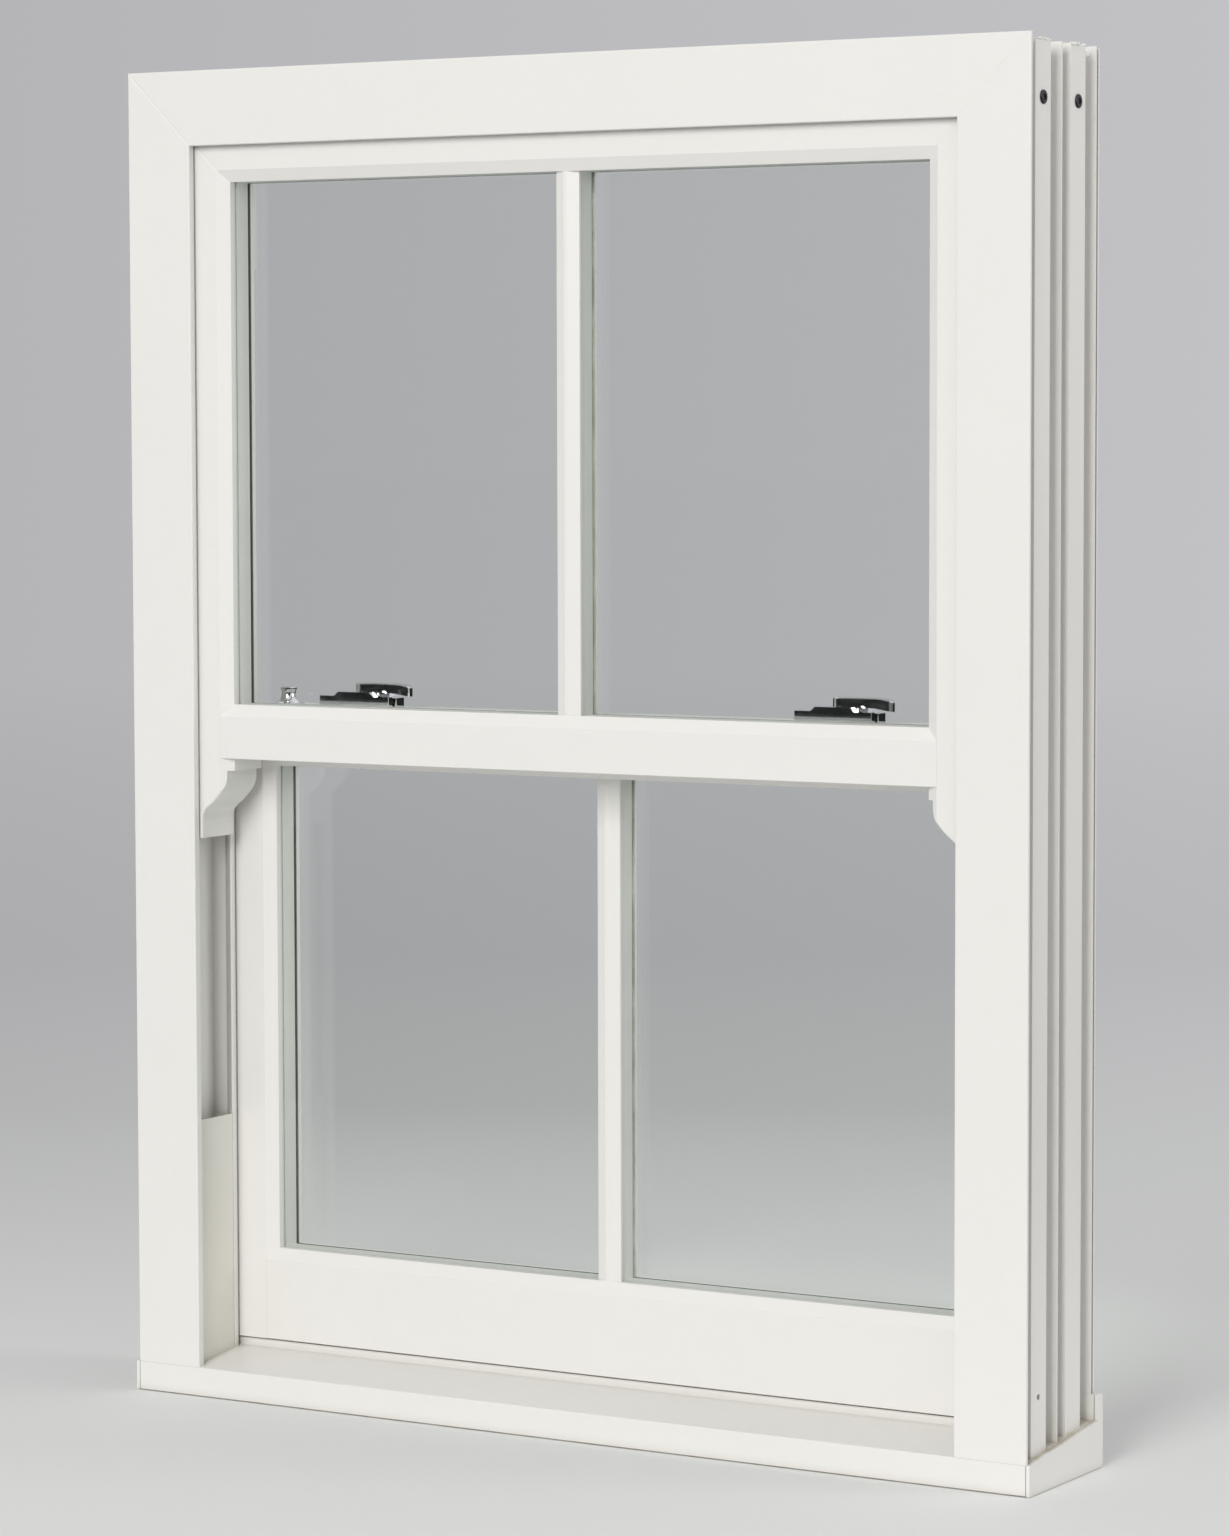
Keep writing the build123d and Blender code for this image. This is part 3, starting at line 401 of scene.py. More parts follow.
@dataclass(frozen=True)
class WhitePlastic:
    """Extruded white window plastic."""

    name: str = "WhitePlastic"
    colour: Colour = (0.852, 0.84, 0.812)
    # The dust colour is also the colour of the painted shade in joints and recesses.
    dust_and_shade: Colour = (0.3, 0.27, 0.22)
    roughness: float = 0.32
    shine: float = 0.45
    tone: float = 0.03
    grime: float = 0.03
    # Joint darkening is partly dirt and partly painted shade; recess darkening is painted shade.
    joint_dirt_and_shade: float = 0.7
    joint_reach: float = 0.003
    painted_recess_shade: float = 0.41
    recess_reach: float = 0.014
    stretch: float = 0.02
    relief: float = 0.00004
    relief_strength: float = 0.25

    def material(self, lines: NodeTree, run: Run) -> Material:
        """Makes the material for members that run along one axis.

        Args:
            lines: the die line group.
            run: the axis that the member runs along.

        Returns:
            The material.
        """
        material, graph, surface, _ = shader(f"{self.name}_{run.name}")
        along = (self.stretch, 1.0, 1.0) if run is Run.ACROSS else (1.0, 1.0, self.stretch)
        values = {
            "Colour": self.colour,
            "Dust And Shade": self.dust_and_shade,
            "Along": along,
            "Tone": self.tone,
            "Grime": self.grime,
            "Joint Dirt And Shade": self.joint_dirt_and_shade,
            "Reach": self.joint_reach,
            "Painted Recess Shade": self.painted_recess_shade,
            "Recess Reach": self.recess_reach,
            "Roughness": self.roughness,
        }
        look = graph.add("Group", values, node_tree=lines)
        graph.fill(surface, {
            "Base Color": self.soil(graph, look.outputs["Colour"]),
            "Roughness": look.outputs["Roughness"],
            "Normal": graph.relief(look.outputs["Height"], self.relief, self.relief_strength),
            "Specular IOR Level": self.shine,
        })
        return material

    def soil(self, graph: Graph, colour: NodeSocket) -> NodeSocket:
        """Leaves plain plastic as it is."""
        return colour


@dataclass(frozen=True)
class SillPlastic(WhitePlastic):
    """White plastic at the foot of the frame, where dirt lies and joints show."""

    name: str = "SillPlastic"
    # Its dust colour and stronger joint darkening are partly dirt and partly painted shade.
    dust_and_shade: Colour = (0.33, 0.27, 0.18)
    joint_dirt_and_shade: float = 0.95
    joint_reach: float = 0.006
    dirt: Colour = (0.46, 0.38, 0.27)
    joint: Colour = (0.12, 0.11, 0.09)
    joint_dark: float = 0.75
    lying: float = 0.8
    start: float = 0.3925
    top: float = 0.05
    cap_joint: float = 0.425
    joint_starts: float = 0.0009
    joint_full: float = 0.0004
    joint_fade: float = 0.0001
    patches: NodeTree | None = None

    def soil(self, graph: Graph, colour: NodeSocket) -> NodeSocket:
        """Lays dirt on the ledge and darkens the joint beside the end cap.

        Args:
            graph: the material's graph.
            colour: the plastic's colour.

        Returns:
            The colour with the dirt and the joint.
        """
        values = {
            "Colour": colour,
            "Dirt": self.dirt,
            "Amount": self.lying,
            "Start": self.start,
            "Top": self.top,
        }
        lying = graph.add("Group", values, node_tree=self.patches)
        across = graph.maths("ABSOLUTE", graph.split(graph.point())["X"])
        darkens = (self.cap_joint - self.joint_starts, self.cap_joint - self.joint_full)
        edge = graph.spread(across, darkens, (0.0, self.joint_dark))
        past = graph.spread(across, (self.cap_joint, self.cap_joint + self.joint_fade), FALLING)
        return graph.mix_colour(graph.times(edge, past), lying.outputs["Colour"], self.joint)


@dataclass(frozen=True)
class FloatGlass:
    """Clear float glass, a little green, that lets lamps through."""

    name: str = "FloatGlass"
    colour: Colour = (0.985, 0.996, 0.988)
    ior: float = 1.5

    def material(self) -> Material:
        """Makes the material.

        Returns:
            The material.
        """
        material, graph, surface, output = shader(self.name)
        look = {"Base Color": self.colour, "Roughness": 0.0, "Transmission Weight": 1.0, "IOR": self.ior}
        graph.fill(surface, look)
        clear = graph.add("BsdfTransparent", {"Color": self.colour})
        rays = graph.add("LightPath").outputs
        lamplight = graph.maths("MAXIMUM", rays["Is Shadow Ray"], rays["Is Diffuse Ray"])
        graph.feed(graph.mix_shader(lamplight, surface, clear), output.inputs["Surface"])
        return material


@dataclass(frozen=True)
class Metal:
    """Plated or bare metal."""

    name: str
    colour: Colour
    stain: Colour
    roughness: float
    stained: float = 0.15
    grain: float = 900.0
    relief: float = 0.00001
    relief_strength: float = 0.1

    def material(self, tarnish: NodeTree) -> Material:
        """Makes the material.

        Args:
            tarnish: the tarnish group.

        Returns:
            The material.
        """
        material, graph, surface, _ = shader(self.name)
        values = {
            "Colour": self.colour,
            "Stain": self.stain,
            "Amount": self.stained,
            "Roughness": self.roughness,
            "Grain": self.grain,
        }
        look = graph.add("Group", values, node_tree=tarnish)
        graph.fill(surface, {
            "Metallic": 1.0,
            "Base Color": look.outputs["Colour"],
            "Roughness": look.outputs["Roughness"],
            "Normal": graph.relief(look.outputs["Height"], self.relief, self.relief_strength),
        })
        return material


@dataclass(frozen=True)
class MouldedPlastic:
    """Matt moulded plastic or rubber, with a fine grain."""

    name: str
    colour: Colour
    roughness: float = 0.55
    grain: float = 700.0
    grain_detail: float = 4.0
    relief: float = 0.00006
    relief_strength: float = 0.4
    cloud: float = 24.0
    mottle: float = 0.08
    darker: float = 0.5
    unevenness: float = 0.08

    def material(self) -> Material:
        """Makes the material.

        Returns:
            The material.
        """
        material, graph, surface, _ = shader(self.name)
        place = graph.point()
        grain = graph.noise_at(place, self.grain, self.grain_detail)
        shade = graph.spread(graph.noise_at(place, self.cloud), NOISE_SPAN, (0.0, self.mottle))
        dark = tuple(self.darker * c for c in self.colour)
        limits = (self.roughness - self.unevenness, self.roughness + self.unevenness)
        graph.fill(surface, {
            "Base Color": graph.mix_colour(shade, self.colour, dark),
            "Roughness": graph.spread(grain, NOISE_SPAN, limits),
            "Normal": graph.relief(grain, self.relief, self.relief_strength),
        })
        return material


@dataclass(frozen=True)
class GlazingSeal:
    """Rubber around the sealed unit: a pale lip outside, and a black one inside."""

    name: str
    middle: float
    blend: float = 0.001
    pale: Colour = (0.74, 0.735, 0.71)
    worn: Colour = (0.45, 0.44, 0.41)
    black: Colour = (0.05, 0.055, 0.052)
    grain: float = 500.0
    wear_span: Span = (0.4, 0.7)
    wear: float = 0.2
    roughness: Span = (0.45, 0.6)
    relief: float = 0.00006
    relief_strength: float = 0.4

    def material(self) -> Material:
        """Makes the material.

        Returns:
            The material.
        """
        material, graph, surface, _ = shader(self.name)
        place = graph.point()
        grain = graph.noise_at(place, self.grain)
        inside = graph.spread(graph.split(place)["Y"], (self.middle - self.blend, self.middle + self.blend))
        lip = graph.mix_colour(graph.spread(grain, self.wear_span, (0.0, self.wear)), self.pale, self.worn)
        graph.fill(surface, {
            "Base Color": graph.mix_colour(inside, lip, self.black),
            "Roughness": graph.spread(grain, NOISE_SPAN, self.roughness),
            "Normal": graph.relief(grain, self.relief, self.relief_strength),
        })
        return material


@dataclass(frozen=True)
class WovenPile:
    """Grey pile of the brush seals."""

    name: str = "WovenPile"
    colour: Colour = (0.36, 0.35, 0.33)
    tip: Colour = (0.52, 0.51, 0.48)
    hairs: float = 2600.0
    roughness: float = 0.95
    sheen: float = 0.3
    relief: float = 0.0004
    relief_strength: float = 0.8

    def material(self) -> Material:
        """Makes the material.

        Returns:
            The material.
        """
        material, graph, surface, _ = shader(self.name)
        hairs = graph.noise_at(graph.point(), self.hairs)
        graph.fill(surface, {
            "Base Color": graph.mix_colour(hairs, self.colour, self.tip),
            "Roughness": self.roughness,
            "Sheen Weight": self.sheen,
            "Normal": graph.relief(hairs, self.relief, self.relief_strength),
        })
        return material


class Finishes:
    """Every material of the window, made once."""

    def __init__(self) -> None:
        """Makes the shared effects, and then the materials."""
        lines, patches, tarnish = DieLines().tree(), LyingDirt().tree(), Tarnish().tree()
        frame_white = WhitePlastic()
        # The sashes carry only a little painted recess shade.
        sash_white = WhitePlastic("SashPlastic", painted_recess_shade=0.1)
        # The cover's colour is darker and yellower than the frame's, to paint the shade it stands in, in its
        # track.
        shaded_cover = WhitePlastic("ShadedCoverPlastic", colour=(0.785, 0.765, 0.705), joint_dirt_and_shade=0.9)
        # Sill and cap darken in their joints, partly as dirt and partly as painted shade.
        ledge = SillPlastic(patches=patches)
        ledge_end = SillPlastic("CapPlastic", joint_reach=0.008, lying=0.4, patches=patches)
        # The flash's strong, short-reaching joint darkening paints shadow specks about the bead.
        rough = WhitePlastic(
            "FlashPlastic", roughness=0.5, joint_dirt_and_shade=0.9, joint_reach=0.002, painted_recess_shade=0.0, relief=0.0002
        )
        chrome = Metal("Chrome", (0.7, 0.7, 0.72), stain=(0.42, 0.42, 0.44), roughness=0.05, stained=0.1)
        zinc = Metal("ZincSteel", (0.62, 0.62, 0.6), stain=(0.4, 0.4, 0.38), roughness=0.28, stained=0.4)
        black_steel = Metal(
            "BlackSteel", (0.06, 0.06, 0.065), stain=(0.16, 0.16, 0.16), roughness=0.25, stained=0.3
        )
        self.white = {run: frame_white.material(lines, run) for run in Run}
        self.sash = {run: sash_white.material(lines, run) for run in Run}
        self.cover = shaded_cover.material(lines, Run.UPRIGHT)
        self.sill = ledge.material(lines, Run.ACROSS)
        self.cap = ledge_end.material(lines, Run.ACROSS)
        self.flash = rough.material(lines, Run.ACROSS)
        self.glass = FloatGlass().material()
        self.chrome = chrome.material(tarnish)
        self.zinc = zinc.material(tarnish)
        self.black_steel = black_steel.material(tarnish)
        self.spacer = MouldedPlastic("SpacerBar", (0.72, 0.73, 0.7), roughness=0.6, grain=900.0).material()
        self.seals = {
            track: GlazingSeal(f"GlazingSeal_{track.name}", track.unit_middle).material() for track in Track
        }
        self.nylon = MouldedPlastic("Nylon", (0.74, 0.73, 0.69), roughness=0.45, grain=400.0).material()
        self.tube = MouldedPlastic("TubePlastic", (0.6, 0.6, 0.57), roughness=0.4, grain=300.0).material()
        self.pile = WovenPile().material()


def dress(node: str, material: Material) -> None:
    """Gives a CAD node its material.

    Args:
        node: the node's name.
        material: the material for all of it.
    """
    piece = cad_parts[node]
    piece.data.materials.clear()
    piece.data.materials.append(material)
    log.info("%s: %s", node, material.name)


def join_rings(form: bmesh.types.BMesh, rings: list[list[bmesh.types.BMVert]]) -> None:
    """Skins a row of rings, and closes its two ends.

    Args:
        form: the mesh to add to.
        rings: each ring's points, as many in every ring.
    """
    for one, two in zip(rings, rings[1:]):
        for corner in range(len(one)):
            after = (corner + 1) % len(one)
            form.faces.new((one[corner], one[after], two[after], two[corner]))
    for ring in (rings[0], rings[-1]):
        form.faces.new(ring)


def make_piece(name: str, form: bmesh.types.BMesh, material: Material, body: str, smooth: bool) -> None:
    """Turns a form into a white plastic piece that rides on a body.

    Args:
        name: the piece's name.
        form: its mesh, which this uses up.
        material: its material.
        body: the body it rides on.
        smooth: whether its faces are shaded as one curved surface.
    """
    bmesh.ops.recalc_face_normals(form, faces=form.faces)
    mesh = bpy.data.meshes.new(name)
    form.to_mesh(mesh)
    form.free()
    mesh.polygons.foreach_set("use_smooth", [smooth] * len(mesh.polygons))
    mesh.materials.append(material)
    piece = bpy.data.objects.new(name, mesh)
    bpy.context.scene.collection.objects.link(piece)
    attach(piece, body)
    log.info("%s: %d faces", name, len(mesh.polygons))


@dataclass
class OuterFrame:
    """Jambs, head, sill and the trims in their tracks."""

    upright: tuple[str, ...] = (
        "jamb_left", "jamb_right", "inner_track_cover_left", "inner_track_cover_right",
    )
    outer_covers: tuple[str, ...] = ("outer_track_cover_left", "outer_track_cover_right")
    across: tuple[str, ...] = ("head", "sill_weather_bar")
    caps: tuple[str, ...] = ("sill_end_cap_left", "sill_end_cap_right")

    def dress(self, finishes: Finishes) -> None:
        """Gives the frame's pieces their materials.

        Args:
            finishes: the window's materials.
        """
        for node in self.upright:
            dress(node, finishes.white[Run.UPRIGHT])
        for node in self.across:
            dress(node, finishes.white[Run.ACROSS])
        for node in self.outer_covers:
            dress(node, finishes.cover)
        for node in self.caps:
            dress(node, finishes.cap)
        dress("sill", finishes.sill)
        dress("frame_brushes", finishes.pile)


@dataclass
class WeldFlash:
    """Rough plastic left at the frame's upper corners, where jamb and head were welded."""

    outer: float = 0.425
    top: float = 1.128
    skin: float = 0.4215
    root: float = 0.3922
    webs: tuple[Span, ...] = ((-0.0498, -0.0231), (0.0117, 0.0384))
    web_inset: float = 0.001
    web_stop: float = 0.0006
    fins: tuple[float, ...] = (-0.0032, 0.0583)
    fin_stop: float = 0.0008
    leg: float = 0.0622
    leg_stop: float = 0.002
    radius: float = 0.0017
    swell: float = 0.55
    swell_change: float = 0.9
    swell_scale: float = 260.0
    swell_shift: Place = (3.0, 7.0, 1.0)
    thinnest: float = 0.35
    near_parallel: float = 0.9
    stray: float = 0.0012
    stray_scale: float = 190.0
    rough: float = 0.5
    rough_scale: float = 900.0
    rough_turn: float = 2.3
    rough_shift: float = 5.0
    step: float = 0.0008
    around: int = 7
    seed: int = 7

    def paths(self) -> list[list[tuple[float, float]]]:
        """Lists the runs of flash.

        Returns:
            Each run's (across, depth) points at the right corner.
        """
        runs = []
        for front, back in self.webs:
            near, far, end = front + self.web_inset, back - self.web_inset, self.skin - self.web_stop
            runs.append([(self.root, near), (end, near), (end, far), (self.root, far)])
        runs += [[(self.root, fin), (self.skin - self.fin_stop, fin)] for fin in self.fins]
        runs.append([(self.root, self.leg), (self.skin - self.leg_stop, self.leg)])
        return runs

    def walk(self, run: list[tuple[float, float]], side: int) -> list[Vector]:
        """Steps along one run, in the mitre's plane.

        Args:
            run: the run's corner points.
            side: 1 for the right corner and -1 for the left.

        Returns:
            The points of the bead's middle.
        """
        points = []
        for (x0, y0), (x1, y1) in zip(run, run[1:]):
            count = max(2, round(math.hypot(x1 - x0, y1 - y0) / self.step))
            for number in range(count):
                x, y = x0 + (x1 - x0) * number / count, y0 + (y1 - y0) * number / count
                points.append(Vector((side * x, y, self.top - self.outer + x)))
        return points

    def reach(self, point: Vector, corner: int) -> float:
        """Works out how far one corner of a ring stands from the bead's middle.

        Args:
            point: the middle, before it strays.
            corner: the corner's number.

        Returns:
            The distance.
        """
        swell_place = point * self.swell_scale + Vector(self.swell_shift)
        swell = self.swell + self.swell_change * noise.noise(swell_place)
        rough_place = point * self.rough_scale + Vector((corner * self.rough_turn, 0.0, self.rough_shift))
        rough = 1.0 + self.rough * noise.noise(rough_place)
        return self.radius * max(self.thinnest, swell) * rough

    def bead(self, form: bmesh.types.BMesh, points: list[Vector]) -> None:
        """Adds one uneven bead.

        Args:
            form: the mesh to add to.
            points: the bead's middle.
        """
        rings = []
        for number, point in enumerate(points):
            ahead = points[min(number + 1, len(points) - 1)] - points[max(number - 1, 0)]
            inward = abs(ahead.normalized().y) >= self.near_parallel
            first = ahead.cross(Vector((1.0, 0.0, 0.0) if inward else (0.0, 1.0, 0.0))).normalized()
            second = ahead.cross(first).normalized()
            middle = point + noise.noise_vector(point * self.stray_scale) * self.stray
            ring = []
            for corner in range(self.around):
                turn = 2.0 * math.pi * corner / self.around
                way = first * math.cos(turn) + second * math.sin(turn)
                ring.append(form.verts.new(middle + way * self.reach(point, corner)))
            rings.append(ring)
        join_rings(form, rings)

    def build(self, finishes: Finishes) -> None:
        """Makes the flash of both corners.

        Args:
            finishes: the window's materials.
        """
        noise.seed_set(self.seed)
        for name, side in (("weld_flash_left", -1), ("weld_flash_right", 1)):
            form = bmesh.new()
            for run in self.paths():
                self.bead(form, self.walk(run, side))
            make_piece(name, form, finishes.flash, "frame", smooth=True)


@dataclass
class Balances:
    """Tubes, rods and shoes that carry the sashes."""

    def dress(self, finishes: Finishes) -> None:
        """Gives the balances their materials.

        Args:
            finishes: the window's materials.
        """
        dress("balance_tubes", finishes.tube)
        dress("balance_bushes", finishes.nylon)
        dress("balance_screws", finishes.black_steel)
        for track in Track:
            dress(f"{track.value}_balance_rods", finishes.zinc)
            dress(f"{track.value}_balance_shoes", finishes.nylon)


@dataclass
class Sash:
    """One glazed sash."""

    track: Track
    rails: tuple[str, ...]
    upright: tuple[str, ...] = (
        "stile_left", "stile_right", "bead_left", "bead_right", "outer_bar", "inner_bar",
    )
    across: tuple[str, ...] = ("bead_top", "bead_bottom", "interlock")
    panes: tuple[str, ...] = ("outer_pane", "inner_pane")

    def dress(self, finishes: Finishes) -> None:
        """Gives the sash's pieces their materials.

        Args:
            finishes: the window's materials.
        """
        name = self.track.value
        for node in self.upright:
            dress(f"{name}_{node}", finishes.sash[Run.UPRIGHT])
        for node in self.across + self.rails:
            dress(f"{name}_{node}", finishes.sash[Run.ACROSS])
        for node in self.panes:
            dress(f"{name}_{node}", finishes.glass)
        dress(f"{name}_spacer_frame", finishes.spacer)
        dress(f"{name}_gaskets", finishes.seals[self.track])


@dataclass
class CornerWelds:
    """Cleaned welds on the room side, where a sash's rails meet its stiles."""

    track: Track
    spans: tuple[Span, ...]
    capped: bool = False
    inner: float = 0.3411
    outer: float = 0.3459
    thick: float = 0.0024
    sunk: float = 0.0003
    chamfer: float = 0.0004
    cap_depth: float = 0.036
    wave: float = 0.00012
    wave_scale: float = 90.0
    wave_shift: float = 2.0
    rows: int = 24

    def section(self, face: float, wave: float = 0.0) -> list[tuple[float, float]]:
        """Draws a weld's section.

        Args:
            face: how far out its face lies.
            wave: how far the face's middle stands proud of that.

        Returns:
            The section's points, across the weld and out to its face.
        """
        base, shoulder, ridge = face - self.thick, face - self.chamfer, face + wave
        return [
            (self.inner, base),
            (self.outer, base),
            (self.outer, shoulder),
            (self.outer - self.chamfer, ridge),
            (self.inner + self.chamfer, ridge),
            (self.inner, shoulder),
        ]

    def strip(self, form: bmesh.types.BMesh, side: int, span: Span) -> None:
        """Adds one upright weld.

        Args:
            form: the mesh to add to.
            side: 1 for the right stile and -1 for the left.
            span: the heights of its foot and its top.
        """
        low, high = span
        rings = []
        for row in range(self.rows + 1):
            height = low + (high - low) * row / self.rows
            place = Vector((side * self.wave_shift, 0.0, height * self.wave_scale))
            outline = self.section(self.track.back - self.sunk, self.wave * noise.noise(place))
            rings.append([form.verts.new((side * x, y, height)) for x, y in outline])
        join_rings(form, rings)

    def cap(self, form: bmesh.types.BMesh, side: int, top: float) -> None:
        """Adds the weld's run over the top of the sash.

        Args:
            form: the mesh to add to.
            side: 1 for the right stile and -1 for the left.
            top: the height of its face.
        """
        start, end = self.track.back - self.cap_depth, self.track.back - self.sunk - self.thick
        rings = []
        for row in range(self.rows + 1):
            depth = start + (end - start) * row / self.rows
            rings.append([form.verts.new((side * x, depth, z)) for x, z in self.section(top)])
        join_rings(form, rings)

    def build(self, finishes: Finishes) -> None:
        """Makes the welds of one sash.

        Args:
            finishes: the window's materials.
        """
        form = bmesh.new()
        for side in (1, -1):
            for span in self.spans:
                self.strip(form, side, span)
            if self.capped:
                self.cap(form, side, self.spans[-1][1])
        name = self.track.value
        make_piece(f"{name}_corner_welds", form, finishes.sash[Run.UPRIGHT], f"{name}_sash", smooth=False)


@dataclass
class Furniture:
    """Fasteners, keeps and latches."""

    plated: tuple[str, ...] = (
        "fastener_bases", "fastener_lever_left", "fastener_lever_right", "keeps", "tilt_latch_left",
        "tilt_latch_right",
    )
    screws: tuple[str, ...] = ("fastener_screws", "keep_screws")
    moulded: tuple[str, ...] = ("upper_latch_left", "upper_latch_right")

    def dress(self, finishes: Finishes) -> None:
        """Gives the furniture its materials.

        Args:
            finishes: the window's materials.
        """
        for node in self.plated:
            dress(node, finishes.chrome)
        for node in self.screws:
            dress(node, finishes.zinc)
        for node in self.moulded:
            dress(node, finishes.nylon)


@dataclass(frozen=True)
class Softbox:
    """A rectangular lamp."""

    name: str
    place: Place
    aim: Place
    width: float
    height: float
    watts: float
    colour: Colour = (1.0, 0.99, 0.97)

    def build(self) -> None:
        """Makes the lamp."""
        data = bpy.data.lights.new(self.name, "AREA")
        data.shape = "RECTANGLE"
        data.size, data.size_y = self.width, self.height
        data.energy, data.color = self.watts, self.colour
        lamp = bpy.data.objects.new(self.name, data)
        bpy.context.scene.collection.objects.link(lamp)
        lamp.location = self.place
        lamp.rotation_euler = (Vector(self.aim) - Vector(self.place)).to_track_quat("-Z", "Y").to_euler()


@dataclass(frozen=True)
class Sweep:
    """Tones of the photograph's floor and backdrop, laid out along the photograph's view."""

    yaw: float
    # These tones get darker and lighter along and across the view, as the studio's light falls off; on the
    # floor they are painted light.
    behind: Colour = (0.5, 0.502, 0.505)
    low: Colour = (0.45, 0.448, 0.465)
    high: Colour = (0.5, 0.5, 0.52)
    lean: float = 0.6
    darkest: float = 0.9
    brightest: float = 1.1
    nearest: float = 0.1
    behind_reach: float = 5.6
    low_reach: float = 7.6
    high_reach: float = 16.0

    def across(self, graph: Graph, place: NodeSocket) -> tuple[NodeSocket, NodeSocket]:
        """Works out a point's distance along the view, and its tangent to the side of it.

        Args:
            graph: the graph to work in.
            place: the point, from the eye.

        Returns:
            The distance and the tangent.
        """
        ahead = (-math.sin(self.yaw), math.cos(self.yaw), 0.0)
        aside = (math.cos(self.yaw), math.sin(self.yaw), 0.0)
        distance = graph.vector_maths("DOT_PRODUCT", place, ahead).outputs["Value"]
        width = graph.vector_maths("DOT_PRODUCT", place, aside).outputs["Value"]
        return distance, graph.maths("DIVIDE", width, graph.maths("MAXIMUM", distance, self.nearest))

    def tone(self, graph: Graph, distance: Value, aside: NodeSocket) -> NodeSocket:
        """Works out the tone of the sweep at a point.

        Args:
            graph: the graph to work in.
            distance: the point's distance along the view.
            aside: its tangent to the side.

        Returns:
            The colour.
        """
        near_mix = graph.spread(distance, (self.behind_reach, self.low_reach))
        far_mix = graph.spread(distance, (self.low_reach, self.high_reach))
        near = graph.mix_colour(near_mix, self.behind, self.low)
        level = graph.maths("ADD", graph.times(aside, self.lean), 1.0)
        held = graph.maths("MINIMUM", graph.maths("MAXIMUM", level, self.darkest), self.brightest)
        return graph.brighten(graph.mix_colour(far_mix, near, self.high), held)


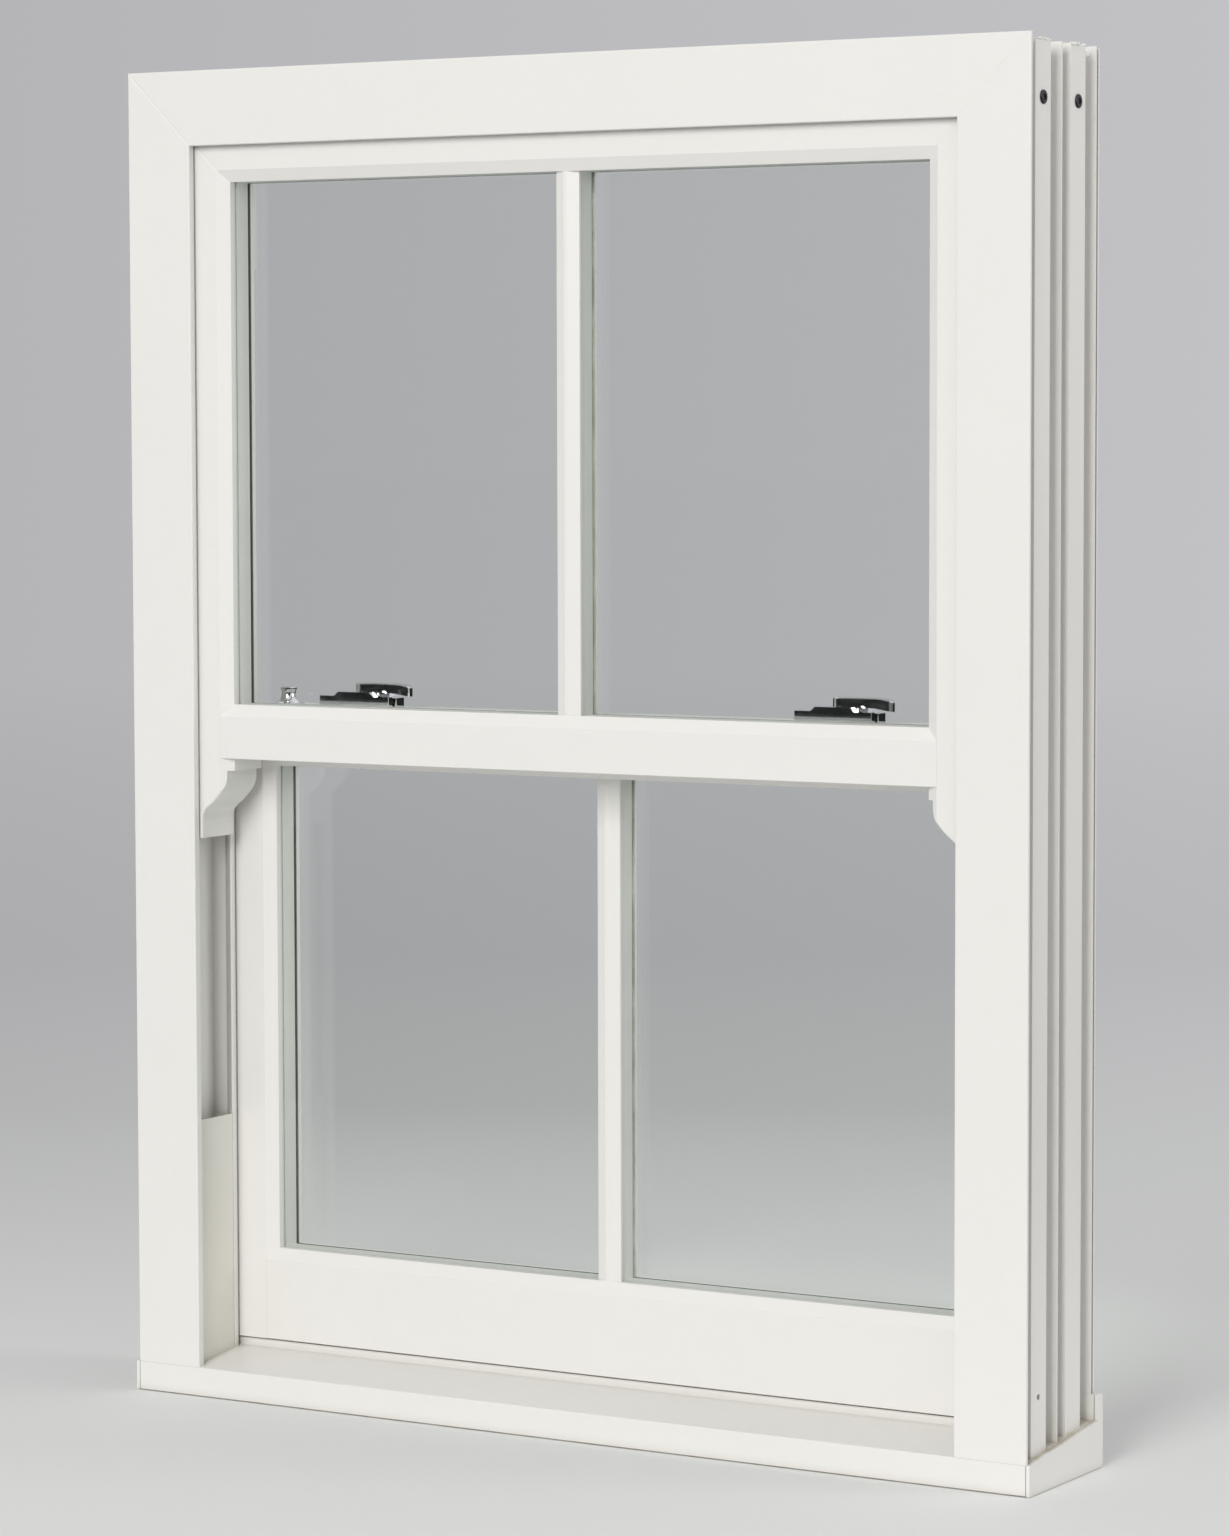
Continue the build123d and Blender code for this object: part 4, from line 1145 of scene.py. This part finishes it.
@dataclass
class Studio:
    """Floor, light and camera."""

    floor_half: float = 60.0
    floor_drop: float = 0.0005
    lit_floor: Colour = (0.85, 0.86, 0.855)
    floor_roughness: float = 0.8
    floor_shine: float = 0.1
    lit_reach: float = 0.2
    near_reach: float = 0.6
    mirror_reach: float = 0.7
    dim_reach: float = 1.9
    front_dark: float = 0.02
    front_span: Span = (-0.35, 0.1)
    ambient: float = 0.47
    overhead: float = 1.1
    overhead_span: Span = (0.35, 0.6)
    camera_place: Place = (2.0865, -3.4500, 0.8323)
    yaw: float = math.radians(30.981)
    pitch: float = math.radians(4.032)
    roll: float = math.radians(-0.144)
    focal_pixels: float = 4909.87
    frame_height_pixels: int = 1536
    sensor: float = 36.0
    clip: Span = (0.05, 200.0)
    lamps: tuple[Softbox, ...] = (
        Softbox("KeyLamp", (1.0, -6.7, 3.4), aim=(0.0, 0.0, 0.6), width=2.6, height=3.4, watts=291.0),
        Softbox("SideLamp", (3.6, 1.0, 1.6), aim=(0.4, 0.0, 0.6), width=1.2, height=1.8, watts=28.0),
    )

    def __post_init__(self) -> None:
        """Makes the sweep that floor and backdrop share."""
        self.sweep = Sweep(self.yaw)

    def build(self) -> None:
        """Sets up the whole studio."""
        self.build_floor()
        self.build_world()
        for lamp in self.lamps:
            lamp.build()
        self.build_camera()

    def mirror_ray(self, graph: Graph) -> NodeSocket:
        """Picks out rays that a surface has mirrored, and leaves out those that glass only lets through.

        Args:
            graph: the graph to work in.

        Returns:
            One for a mirrored ray, and nothing for any other.
        """
        rays = graph.add("LightPath").outputs
        bounced = graph.maths("MINIMUM", rays["Glossy Depth"], 1.0)
        return graph.times(bounced, graph.maths("SUBTRACT", 1.0, rays["Is Diffuse Ray"]))

    def floor_paint(self) -> Material:
        """Makes the floor's material: lit by the lamps near the window, and farther off a glow in the sweep's
        tones, which is painted light. Mirrored rays see the far floor glow near black, a painted dark
        reflection.

        Returns:
            The material.
        """
        material, graph, surface, output = shader("FloorPaint")
        graph.fill(surface, {
            "Base Color": self.lit_floor,
            "Roughness": self.floor_roughness,
            "Specular IOR Level": self.floor_shine,
        })
        place = graph.point()
        from_eye = graph.vector_maths("SUBTRACT", place, self.camera_place)
        distance, aside = self.sweep.across(graph, from_eye.outputs[0])
        mirror_ray = self.mirror_ray(graph)
        tone = graph.mix_colour(mirror_ray, self.sweep.tone(graph, distance, aside), (self.front_dark,) * 3)
        glow = graph.add("Emission", {"Color": tone})
        window = math.hypot(self.camera_place[0], self.camera_place[1])
        beyond = graph.spread(distance, (window + self.lit_reach, window + self.dim_reach))
        before = graph.spread(distance, (window - self.dim_reach, window - self.near_reach), FALLING)
        apart = graph.add("VectorMath", {0: place}, operation="LENGTH").outputs["Value"]
        mirrored = graph.spread(apart, (self.mirror_reach, self.dim_reach))
        drawn = graph.mix_number(mirror_ray, graph.maths("MAXIMUM", beyond, before), mirrored)
        graph.feed(graph.mix_shader(drawn, surface, glow), output.inputs["Surface"])
        return material

    def build_floor(self) -> None:
        """Makes a wide floor, a little under the window's foot."""
        half = self.floor_half
        mesh = bpy.data.meshes.new("Floor")
        corners = [(-half, -half, 0), (half, -half, 0), (half, half, 0), (-half, half, 0)]
        mesh.from_pydata(corners, [], [(0, 1, 2, 3)])
        mesh.materials.append(self.floor_paint())
        floor = bpy.data.objects.new("Floor", mesh)
        floor.location.z = -self.floor_drop
        bpy.context.scene.collection.objects.link(floor)

    def build_world(self) -> None:
        """Makes the backdrop, the even light, and the dim front and bright ceiling that metal mirrors."""
        world = bpy.data.worlds.new("StudioWorld")
        bpy.context.scene.world = world
        world.use_nodes = True
        graph = Graph(world.node_tree)
        background = world.node_tree.nodes["Background"]
        heading = graph.add("TexCoord").outputs["Generated"]
        parts = graph.split(heading)
        _, aside = self.sweep.across(graph, heading)
        seen = self.sweep.tone(graph, self.sweep.high_reach, aside)
        behind = graph.spread(parts["Y"], self.front_span)
        mirrored = graph.mix_colour(behind, (self.front_dark,) * 3, seen)
        raised = graph.spread(parts["Z"], self.overhead_span)
        mirrored = graph.mix_colour(raised, mirrored, (self.overhead,) * 3)
        diffuse = graph.add("LightPath").outputs["Is Diffuse Ray"]
        shown = graph.mix_colour(diffuse, seen, (self.ambient,) * 3)
        graph.feed(graph.mix_colour(self.mirror_ray(graph), shown, mirrored), background.inputs["Color"])

    def build_camera(self) -> None:
        """Places the camera at the photograph's viewing angle."""
        data = bpy.data.cameras.new("Camera")
        data.sensor_width = self.sensor
        data.lens = self.focal_pixels * self.sensor / self.frame_height_pixels
        data.clip_start, data.clip_end = self.clip
        camera = bpy.data.objects.new("Camera", data)
        bpy.context.scene.collection.objects.link(camera)
        turn = Matrix.Rotation(self.yaw, 4, "Z") @ Matrix.Rotation(math.pi / 2 - self.pitch, 4, "X")
        rolled = turn @ Matrix.Rotation(self.roll, 4, "Z")
        camera.matrix_world = Matrix.Translation(self.camera_place) @ rolled
        bpy.context.scene.camera = camera


def main() -> None:
    """Builds and dresses the window, then its studio."""
    logging.basicConfig(level=logging.INFO, format="%(message)s")
    finishes = Finishes()
    OuterFrame().dress(finishes)
    WeldFlash().build(finishes)
    Balances().dress(finishes)
    Sash(Track.OUTER, rails=("top_rail", "meeting_rail")).dress(finishes)
    Sash(Track.INNER, rails=("top_rail", "bottom_rail")).dress(finishes)
    CornerWelds(Track.OUTER, spans=((0.5483, 0.5787),)).build(finishes)
    CornerWelds(Track.INNER, spans=((0.0408, 0.1044), (0.5536, 0.5902)), capped=True).build(finishes)
    Furniture().dress(finishes)
    Studio().build()
    bpy.context.scene.view_settings.view_transform = "Standard"


if __name__ == "__main__":
    main()
